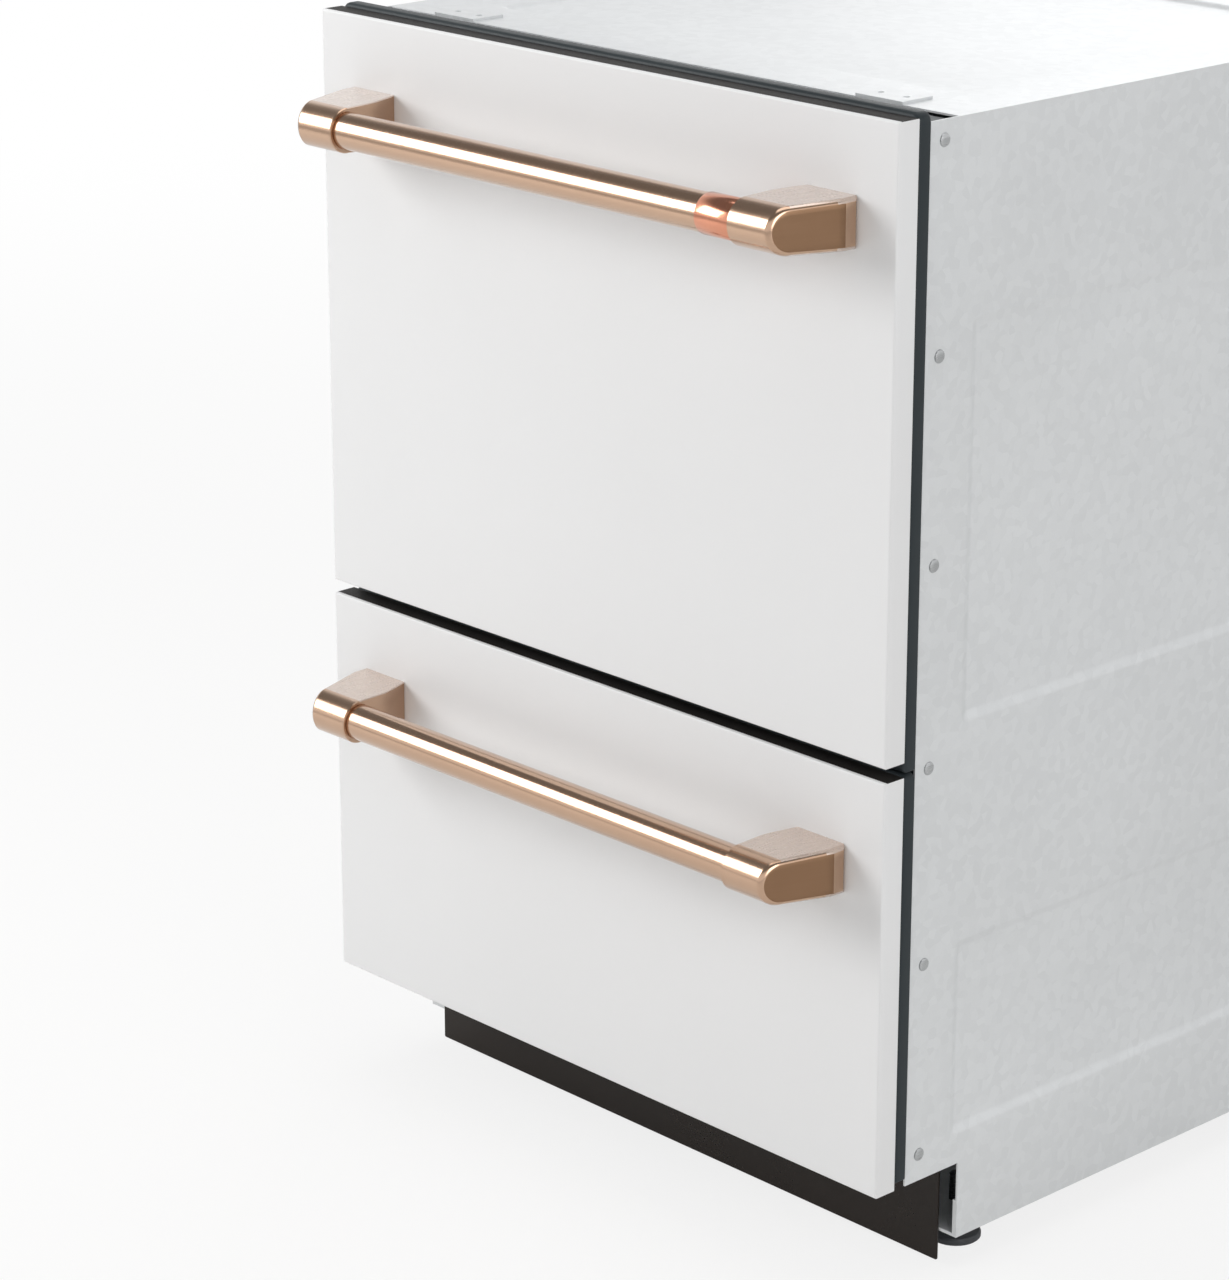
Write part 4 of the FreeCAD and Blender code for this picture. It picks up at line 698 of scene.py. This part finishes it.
seal = {"corner": 14,            # its heights are shares of the seal's own
        "section": ((2.6, 0), (1.4, 0.12), (0.4, 0.35), (0, 0.6), (0, 0.85), (0.4, 1), (6.6, 1), (7, 0.85),
                    (7, 0.6), (6.4, 0.35), (5, 0.12), (3.8, 0), (2.6, 0))}

def tubShell(side, low, high):
    # rings from the sump over the floor, up the inside with its ledge, over the lip and the flange, down the
    # outside with its ribs and back to the sump; a quarter round joins floor and wall inside and outside
    edges, hole = edgesOf(low, high), edgesOf(*nodeBox(side + "_filter_plate"))
    flange, wall, corner, bend = tub["flange"], tub["wall"], tub["corner"], tub["floorRound"]
    shell = (edges[0] + flange, edges[1] - flange, edges[2], edges[3] - flange)
    floor, top, inside = low[2] + wall, high[2], wall + tub["ledge"][0][0]

    def walled(inset, level, corner=corner):
        # a ring round the wall, whose front stays within the box
        xLow, xHigh, yLow, *rest = pulledIn(shell, inset, max(corner, 3), level)
        return xLow, xHigh, max(yLow, low[1]), *rest

    rows = [pulledIn(hole, -tub["sumpGap"], tub["sumpCorner"], floor - tub["sumpEdge"]),
            pulledIn(hole, -tub["sumpGap"] - tub["sumpEdge"], tub["sumpCorner"], floor),
            walled(inside + bend + 2, floor, corner - bend)]
    rows += [walled(inside + a, floor + b, corner - a * tub["cornerFall"]) for a, b in quarter(bend, 6)]
    rows += [walled(wall + a, top - tub["ledgeDrop"] + b) for a, b in tub["ledge"]]
    rows += [walled(wall + a, top + b) for a, b in tub["lip"]]
    rows += [pulledIn(edges, a, corner + 2, top + b) for a, b in tub["flangeEdge"]]
    rows.append(walled(0, rows[-1][-1] - 0.1))
    rows += [walled(a, top - drop + b) for drop in tub["ribDrops"] for a, b in tub["rib"]]
    rows += [walled(b, low[2] + a) for a, b in quarter(tub["outerRound"], 6)]
    rows += [walled(tub["outerRound"] + 2, low[2]), (*rows[0][:5], low[2]), rows[0]]
    return [rings(rows, 9)]

def lidPlate(side, low, high):
    # rings from the middle of the underside out round the edge and in to the recess of the top, with ribs in
    # the recess and two lugs at each end
    top, recess = high[2], high[2] - lid["recess"]
    left, right, near, far = low[0] + lid["lug"], high[0] - lid["lug"], low[1], high[1]
    middle, half, flat, border = (near + far) / 2, (far - near) / 2, lid["edge"] + lid["flat"], lid["border"]

    def row(inset, level, corner=lid["corner"]):
        # a ring round the plate without its lugs
        return pulledIn((left, right, near, far), inset, corner, level)

    rows = [row(half, low[2], 0), row(flat, low[2])]
    rows += [row(a, low[2] + b) for a, b in quarter(lid["edge"], 4)]
    rows += [row(b, top - a) for a, b in quarter(lid["edge"], 4)]
    rows += [row(flat, top), *(row(border + a, top + b) for a, b in lid["slope"]), row(half, recess, 0)]
    shapes = [rings(rows)]
    width, gap = lid["rib"] / 2, border + lid["ribGap"]
    ribs = [(x - width, x + width, near + gap, far - gap) for x in lid["ribs"]]
    for xLow, xHigh, yLow, yHigh in ribs + [(left + gap, right - gap, middle - width, middle + width)]:
        shapes.append(slab((xLow, yLow, recess - lid["ribSink"]), (xHigh, yHigh, recess + lid["ribRise"]),
                           "z", (0, 1), 1))
    guide, guideHigh = nodeBox("lid_guides")
    for y in (guide[1], guideHigh[1] - lid["lugLength"]):
        lug = slab((right - lid["lugSink"], y, low[2]), (high[0], y + lid["lugLength"], top), "z", (1, 1),
                   lid["lugCorner"])
        shapes += [lug, mirrored(lug)]
    return shapes

def sealLip(side, low, high):
    # the section carried round the lid: narrow at the foot, round at the sides and flat on the lid
    edges, tall = edgesOf(low, high), high[2] - low[2]
    return [rings([pulledIn(edges, a, seal["corner"] - a, low[2] + b * tall) for a, b in seal["section"]], 7)]

for side in sides:
    addPieces(side, [("TubShell", "_tub", "_drawer", tubShell, "greyPolypropylene"),
                     ("LidPlate", "_lid", "_lid", lidPlate, "greyPolypropylene"),
                     ("SealLip", "_lid_seal", "_lid", sealLip, "epdmRubber")])
print("tubs ready")

# Racks of dipped wire, with fixed and folding tines, a cup shelf and a cutlery basket

rack = {"wire": 1.9, "rim": 2.4, "lift": 46, "grid": 4, "bend": 13, "corner": 20, "lowLoop": 16, "across": 12,
        "along": 10, "leg": 14, "legRise": 5, "legEdges": (2, 1.5), "tines": 9, "tineEnd": 14,
        "tineHeight": 72, "rowInset": 66, "rowPast": 3, "block": (8, 12, 14), "blockEdges": (1.5, 1.5),
        "mouldedCorner": 4}
shelf = {"gap": 3, "corner": 14, "rails": 10, "stays": 4, "thinner": 0.3, "thicker": 0.2, "lift": 0.6}
basket = {"wall": 2.5, "edges": (0.8, 0.8), "corner": 6, "foot": 14, "head": 16, "overlap": 6, "slats": 15,
          "slot": 5, "endInset": 5, "endSlats": 4, "endSlat": 16, "dividers": 3, "dividerHalf": 1,
          "dividerDrop": 24, "dividerEdges": (0.6, 0.6)}

def tinePlaces(side):
    # the folding row's node runs past its end tines by the pivot's width and the gap beside it
    low, high = nodeBox(side + "_folding_tines")
    return np.linspace(low[0] + rack["tineEnd"], high[0] - rack["tineEnd"], rack["tines"])

def loop(xLow, xHigh, yLow, yHigh, corner, level, radius):
    # a wire closed on itself round a rounded rectangle
    return wire(ringPoints(xLow, xHigh, yLow, yHigh, corner, level, 6), radius, (0, 0, 1), closed=True)

def moulded(low, high, thin, edges):
    # a slab in the second finish, such as a leg or the block that holds one end of a shaft
    return painted(slab(low, high, thin, edges, rack["mouldedCorner"]), 1)

def rackWires(side, low, high):
    # wires bent up at both ends in two layers, three loops, four legs, two rows of tines and pivot blocks
    r, rim, gap, leg = rack["wire"], rack["rim"], rack["grid"], rack["leg"]
    floor, top = low[2] + rack["lift"], high[2] - rim
    xLow, xHigh, yLow, yHigh = edges = low[0] + rim, high[0] - rim, low[1] + rim, high[1] - rim
    shapes = []
    for y in inner(low[1] + gap, high[1] - gap, rack["along"]):
        corners = [(xLow, y, top), (xLow, y, floor + r), (xHigh, y, floor + r), (xHigh, y, top)]
        shapes.append(wire(bentPath(corners, rack["bend"]), r, (0, 1, 0)))
    for x in inner(low[0] + gap, high[0] - gap, rack["across"]):
        corners = [(x, yLow, top), (x, yLow, floor + rim), (x, yHigh, floor + rim), (x, yHigh, top)]
        shapes.append(wire(bentPath(corners, rack["bend"]), r, (1, 0, 0)))
    for level, radius in ((top, rim), ((floor + high[2]) / 2, r), (floor + rack["lowLoop"], r)):
        shapes.append(loop(*edges, rack["corner"], level, radius))
    for x in (low[0], high[0] - leg):
        for y in (low[1], high[1] - leg):
            shapes.append(moulded((x, y, low[2]), (x + leg, y + leg, floor + rack["legRise"]), "z",
                                  rack["legEdges"]))
    places, level, past = tinePlaces(side), floor + gap + r, rack["rowPast"]
    for y in (low[1] + rack["rowInset"], high[1] - rack["rowInset"]):
        shapes.append(straight((places[0] - past, y, level), (places[-1] + past, y, level), r))
        tip = floor + gap + rack["tineHeight"] - r
        shapes += [straight((x, y, level), (x, y, tip), r) for x in places]
    fold, foldHigh = nodeBox(side + "_folding_tines")
    wide, deep, tall = rack["block"]
    y = (fold[1] + foldHigh[1]) / 2
    for x in (fold[0], foldHigh[0] - wide):
        shapes.append(moulded((x, y - deep / 2, floor + 1), (x + wide, y + deep / 2, floor + gap + tall), "x",
                              rack["blockEdges"]))
    if side == "upper":
        hinge, hingeHigh = nodeBox("upper_cup_shelf")
        z, shaft = (hinge[2] + hingeHigh[2]) / 2, (hingeHigh[2] - hinge[2]) / 2
        for y in (hinge[1], hingeHigh[1] - wide):
            shapes.append(moulded((hingeHigh[0] - shaft - deep / 2, y, z - tall / 2),
                                  (high[0] - 1, y + wide, z + tall / 2), "y", rack["blockEdges"]))
    return shapes

def foldRow(side, low, high):
    # a shaft, and a tine up from its axis at each place
    r, shaft = rack["wire"], (high[1] - low[1]) / 2
    y, z = (low[1] + high[1]) / 2, low[2] + shaft
    return [straight((low[0] + shaft, y, z), (high[0] - shaft, y, z), shaft, "shaft"),
            *(straight((x, y, z), (x, y, high[2] - r), r) for x in tinePlaces(side))]

def cupShelfWires(side, low, high):
    # a shaft, a loop that starts from it, rails across the loop and two stays along it
    r, shaft = rack["wire"], (high[2] - low[2]) / 2
    x, z = high[0] - shaft, (low[2] + high[2]) / 2
    inset, thin, level = rack["block"][0] + shelf["gap"] + r, r - shelf["thinner"], z + shelf["lift"]
    yLow, yHigh = low[1] + inset, high[1] - inset
    return [straight((x, low[1] + shaft, z), (x, high[1] - shaft, z), shaft, "shaft"),
            loop(low[0] + r, x, yLow, yHigh, shelf["corner"], z, r + shelf["thicker"]),
            *(straight((low[0] + 2 * r, y, z), (x - r, y, z), thin)
              for y in inner(yLow, yHigh, shelf["rails"])),
            *(straight((stay, yLow, level), (stay, yHigh, level), thin)
              for stay in inner(low[0], x, shelf["stays"]))]

def cutleryHolder(side, low, high):
    # a floor, a rim and a foot ring of one section, slats between them all round, and dividers
    wall, edge, end, top = basket["wall"], basket["edges"], basket["endInset"], high[2]
    foot, head = low[2] + basket["foot"] - basket["overlap"], top - basket["head"]
    shapes = [slab(low, (high[0], high[1], low[2] + wall), "z", edge, basket["corner"])]
    section = [(0.3, head), (0, head + 0.5), (0, top - 1), (0.5, top - 0.2), (1.2, top),
               (wall - 0.6, top - 0.3), (wall, top - 1), (wall, head + 0.5), (wall - 0.3, head), (0.3, head)]
    edges = edgesOf(low, high)
    for shift in (0, low[2] - head + 0.5):
        shapes.append(rings([pulledIn(edges, a, basket["corner"], z + shift) for a, z in section]))
    head += basket["overlap"]
    step = (high[1] - low[1] - 2 * wall) / (basket["slats"] - 1)
    half = (step - basket["slot"]) / 2
    for y in low[1] + wall + np.arange(basket["slats"]) * step:
        yLow, yHigh = max(y - half, low[1] + end), min(y + half, high[1] - end)
        for x in (low[0], high[0] - wall):
            shapes.append(slab((x, yLow, foot), (x + wall, yHigh, head), "x", edge, 2))
    for x in np.linspace(low[0] + end, high[0] - end, basket["endSlats"] + 1)[:-1]:
        for y in (low[1], high[1] - wall):
            shapes.append(slab((x, y, foot), (x + basket["endSlat"], y + wall, head), "y", edge, 2))
    half, top = basket["dividerHalf"], top - basket["dividerDrop"]
    for y in inner(low[1], high[1], basket["dividers"] + 2):
        shapes.append(slab((low[0] + 1, y - half, low[2] + 1), (high[0] - 1, y + half, top), "y",
                           basket["dividerEdges"], 2))
    return shapes

for side in sides:
    addPieces(side, [("RackWires", "_rack", "_drawer", rackWires, "dippedNylon", "greyPolypropylene"),
                     ("FoldRow", "_folding_tines", "_tines", foldRow, "dippedNylon")])
addPieces("", [("cupShelfWires", "upper_cup_shelf", "upper_shelf", cupShelfWires, "dippedNylon"),
               ("cutleryHolder", "lower_cutlery_basket", "lower_drawer", cutleryHolder, "greyPolypropylene")])
print("racks ready")

# Wash system: spray arm, pump housing and dispenser door

arm = {"root": 24, "tip": 13, "tipRound": 13, "rise": 2, "thick": 12, "tipThick": 0.25, "oval": (0.7, 0.75),
       "stations": 61, "nozzles": 4, "nozzleEndGap": 18.6, "nozzleOffset": 3, "nozzle": 3.6, "bore": 2,
       "hub": 20, "hubTop": ((6, 2), (2, 5), (0.4, 9), (0, 13)),       # how far below its top and inside
       "nozzleEdge": ((-1.5, 0.8), (-0.2, 0.5), (0.6, -0.4))}          # how far above the face and outside
pump = {"bowl": 90, "wall": 3.5, "round": 10, "flangeThick": 4, "post": 8, "ribs": 16, "ribRise": 4,
        "ribHalf": 1.2, "ribSink": 4, "ribFoot": 12, "ribEdges": (0.6, 0.6), "outlet": 14, "outletWall": 3.5,
        "barbs": 3, "barbPitch": 4, "barbLength": 3.6, "barbFall": 1.6}
cupDoor = {"edges": (0.5, 0.7), "corner": 3, "grips": 3, "gripStart": 10, "gripPitch": 6, "gripWidth": 2.4,
           "gripHalf": 12, "gripRise": 1.4, "gripSink": 0.5, "gripEdges": (0, 0.8)}

def sprayBlade(side, low, high):
    # station u runs from tip to tip; the half width falls from root to tip and closes in a quarter circle,
    # and each section is an oval whose cosine and sine are raised to powers below 1
    reach, top, middle = high[0], high[2], (low[1] + high[1]) / 2
    u = reach * np.sin(np.linspace(-math.pi / 2, math.pi / 2, arm["stations"]))[:, None]
    t = onceRound(facets["blade"])[None, :]
    near = np.clip((np.abs(u) - reach + arm["tipRound"]) / arm["tipRound"], 0, 1)
    close = np.sqrt(1 - near ** 2)
    wide = (arm["root"] + (arm["tip"] - arm["root"]) * np.abs(u) / reach) * close
    tall = arm["thick"] / 2 * (arm["tipThick"] + (1 - arm["tipThick"]) * close)
    tall = np.where(close < 1e-6, 0, tall)
    level = low[2] + arm["rise"] + arm["thick"] / 2
    y = middle + wide * np.sign(np.cos(t)) * np.abs(np.cos(t)) ** arm["oval"][0]
    z = level + tall * np.sign(np.sin(t)) * np.abs(np.sin(t)) ** arm["oval"][1]
    hub, r, bore, face = arm["hub"], arm["nozzle"], arm["bore"], level + arm["thick"] / 2
    profile = [(low[2], 0), (low[2], hub - 2), (low[2] + 1, hub), (level + 4, hub),
               *((top - a, hub - b) for a, b in arm["hubTop"]), (top, 0)]
    shapes = [skin(np.stack([np.broadcast_to(u, y.shape), y, z], -1)),
              turned(profile, (0, middle, 0), "z", "hub")]
    nozzle = [*((face + a, r + b) for a, b in arm["nozzleEdge"]), (face + 0.6, bore),
              (face - 1.4, bore * 0.8), (face - 1.4, 0)]
    pitch = (reach - arm["nozzleEndGap"]) / arm["nozzles"]
    for i in range(1, arm["nozzles"] + 1):
        for sign in (-1, 1):
            place = (sign * i * pitch, middle + sign * arm["nozzleOffset"], 0)
            shapes.append(painted(turned(nozzle, place, "z", "nozzle"), 1))
    return shapes

def pumpHousing(side, low, high):
    # a bowl turned about its post, with quarter rounds at its foot, upright ribs turned round the same axis,
    # and an outlet turned about y, whose radius slopes down along each barb
    _, _, yLow, yHigh = edgesOf(*nodeBox(side + "_filter_plate"))
    centre = np.array((0, (yLow + yHigh) / 2, 0))
    bottom, top, flange, tubFoot = low[2], high[2], high[0], nodeBox(side + "_tub")[0][2]
    bowl, wall, post, lip = pump["bowl"], pump["wall"], pump["post"], tubFoot - pump["flangeThick"]
    bore, floor, bend = bowl - wall, bottom + wall, quarter(pump["round"], 6)
    profile = [(bottom, 0), *((bottom + b, bowl - a) for a, b in bend), (lip - 3, bowl),
               (lip - 0.8, bowl + 0.8), (lip, bowl + 3), (lip, flange - 0.6), (lip + 0.6, flange),
               (tubFoot - 0.6, flange), (tubFoot, flange - 0.6), (tubFoot, bore + 0.8), (tubFoot - 0.8, bore),
               *((floor + a, bore - b) for a, b in bend), (floor, post + 4), (floor + 1, post + 1),
               (floor + 4, post), (top - 1.5, post), (top, post - 1.5), (top, 0)]
    shapes = [turned(profile, centre, "z", "bowl")]
    half = pump["ribHalf"]
    points, quads, paint = slab((bowl - pump["ribSink"], -half, bottom + pump["ribFoot"]),
                                (bowl + pump["ribRise"], half, lip + 1), "y", pump["ribEdges"], 3)
    for angle in (np.arange(pump["ribs"]) + 0.5) * 2 * math.pi / pump["ribs"]:
        c, s = math.cos(angle), math.sin(angle)
        shapes.append((points @ np.array([[c, s, 0], [-s, c, 0], [0, 0, 1]]) + centre, quads, paint))
    r, end, root = pump["outlet"], high[1], centre[1] + bowl
    spout = [(root - 6, 0), (root - 6, r - 1), (end - 14, r - 1)]
    for start in end - 13 + pump["barbPitch"] * np.arange(pump["barbs"]):
        spout += [(start, r), (start + pump["barbLength"], r - pump["barbFall"])]
    bore = r - 1 - pump["outletWall"]
    spout += [(end, r - 2), (end, bore), (root, bore), (root, 0)]
    return shapes + [turned(spout, (0, 0, (lip + bottom) / 2), "y", "outlet")]

def cupDoorPlate(side, low, high):
    # a thin slab with upright grips on its inner face
    shapes = [slab(low, high, "y", cupDoor["edges"], cupDoor["corner"])]
    z, half, face, width = (low[2] + high[2]) / 2, cupDoor["gripHalf"], high[1], cupDoor["gripWidth"]
    for x in low[0] + cupDoor["gripStart"] + np.arange(cupDoor["grips"]) * cupDoor["gripPitch"]:
        shapes.append(slab((x, face - cupDoor["gripSink"], z - half),
                           (x + width, face + cupDoor["gripRise"], z + half), "y", cupDoor["gripEdges"], 1))
    return shapes

for side in sides:
    addPieces(side, [("SprayBlade", "_spray_arm", "_spray_arm", sprayBlade, "talcPolypropylene",
                      "glassFilledBlack"),
                     ("PumpHousing", "_wash_pump", "_drawer", pumpHousing, "glassFilledBlack"),
                     ("CupDoor", "_dispenser_door", "_dispenser_slide", cupDoorPlate, "glassFilledBlack")])
print("wash systems ready")

# Controls on the top of each door

controls = {"edges": (2, 2), "corner": 3, "gap": 0.3, "light": 1.1, "lightGap": 8, "keyEdges": (0.8, 1.2),
            "surround": ((0, -1), (0, 0.3), (0.3, 0.5), (1.7, 0.5), (2.2, 0), (2.2, -1), (0, -1))}

def pushKey(side, low, high):
    # a slab with a softer edge at its top
    return [slab(low, high, "z", controls["keyEdges"], controls["corner"])]

def keyStrip(side, low, high):
    # the strip, and for each key a raised surround, whose section is carried round it, and a turned light
    shapes = [slab(low, high, "z", controls["edges"], controls["corner"])]
    face, light = high[2], controls["light"]
    bead = [(face - 0.5, 0), (face - 0.5, light), (face + 0.3, light * 0.8), (face + 0.6, 0)]
    for key in ("_power_button", "_start_button"):
        _, xHigh, yLow, yHigh = edges = edgesOf(*nodeBox(side + key))
        shapes.append(rings([pulledIn(edges, -controls["gap"] - a, controls["corner"] + a, face + b)
                             for a, b in controls["surround"]]))
        place = (xHigh + controls["lightGap"], (yLow + yHigh) / 2, 0)
        shapes.append(painted(turned(bead, place, "z", "light"), 1))
    return shapes

for side in sides:
    addPieces(side, [("PowerKey", "_power_button", "_power_button", pushKey, "glossKey"),
                     ("StartKey", "_start_button", "_start_button", pushKey, "glossKey"),
                     ("KeyStrip", "_control_strip", "_drawer", keyStrip, "slateAbs", "whiteAcetal")])
print("controls ready")

# Finish of each node that stays as the frame has it

kept = {
    "spangledZinc": ("base_tray", "middle_brace", "outer_rails", "mounting_brackets", "lid_guides"),
    "whiteAcetal": ("inlet_valve", "drain_spigot"),
    "greyPolypropylene": ("upper_dispenser", "lower_dispenser"),
    "rolledStainless": ("upper_inner_rails", "upper_middle_rails", "lower_inner_rails", "lower_middle_rails"),
    "punchedStainless": ("upper_filter_plate", "lower_filter_plate"),
    "glassFilledBlack": ("upper_impeller", "lower_impeller"),
}
for finish, nodes in kept.items():
    for node in nodes:
        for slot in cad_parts[node].material_slots:
            slot.material = made[finish]
print("kept nodes finished")
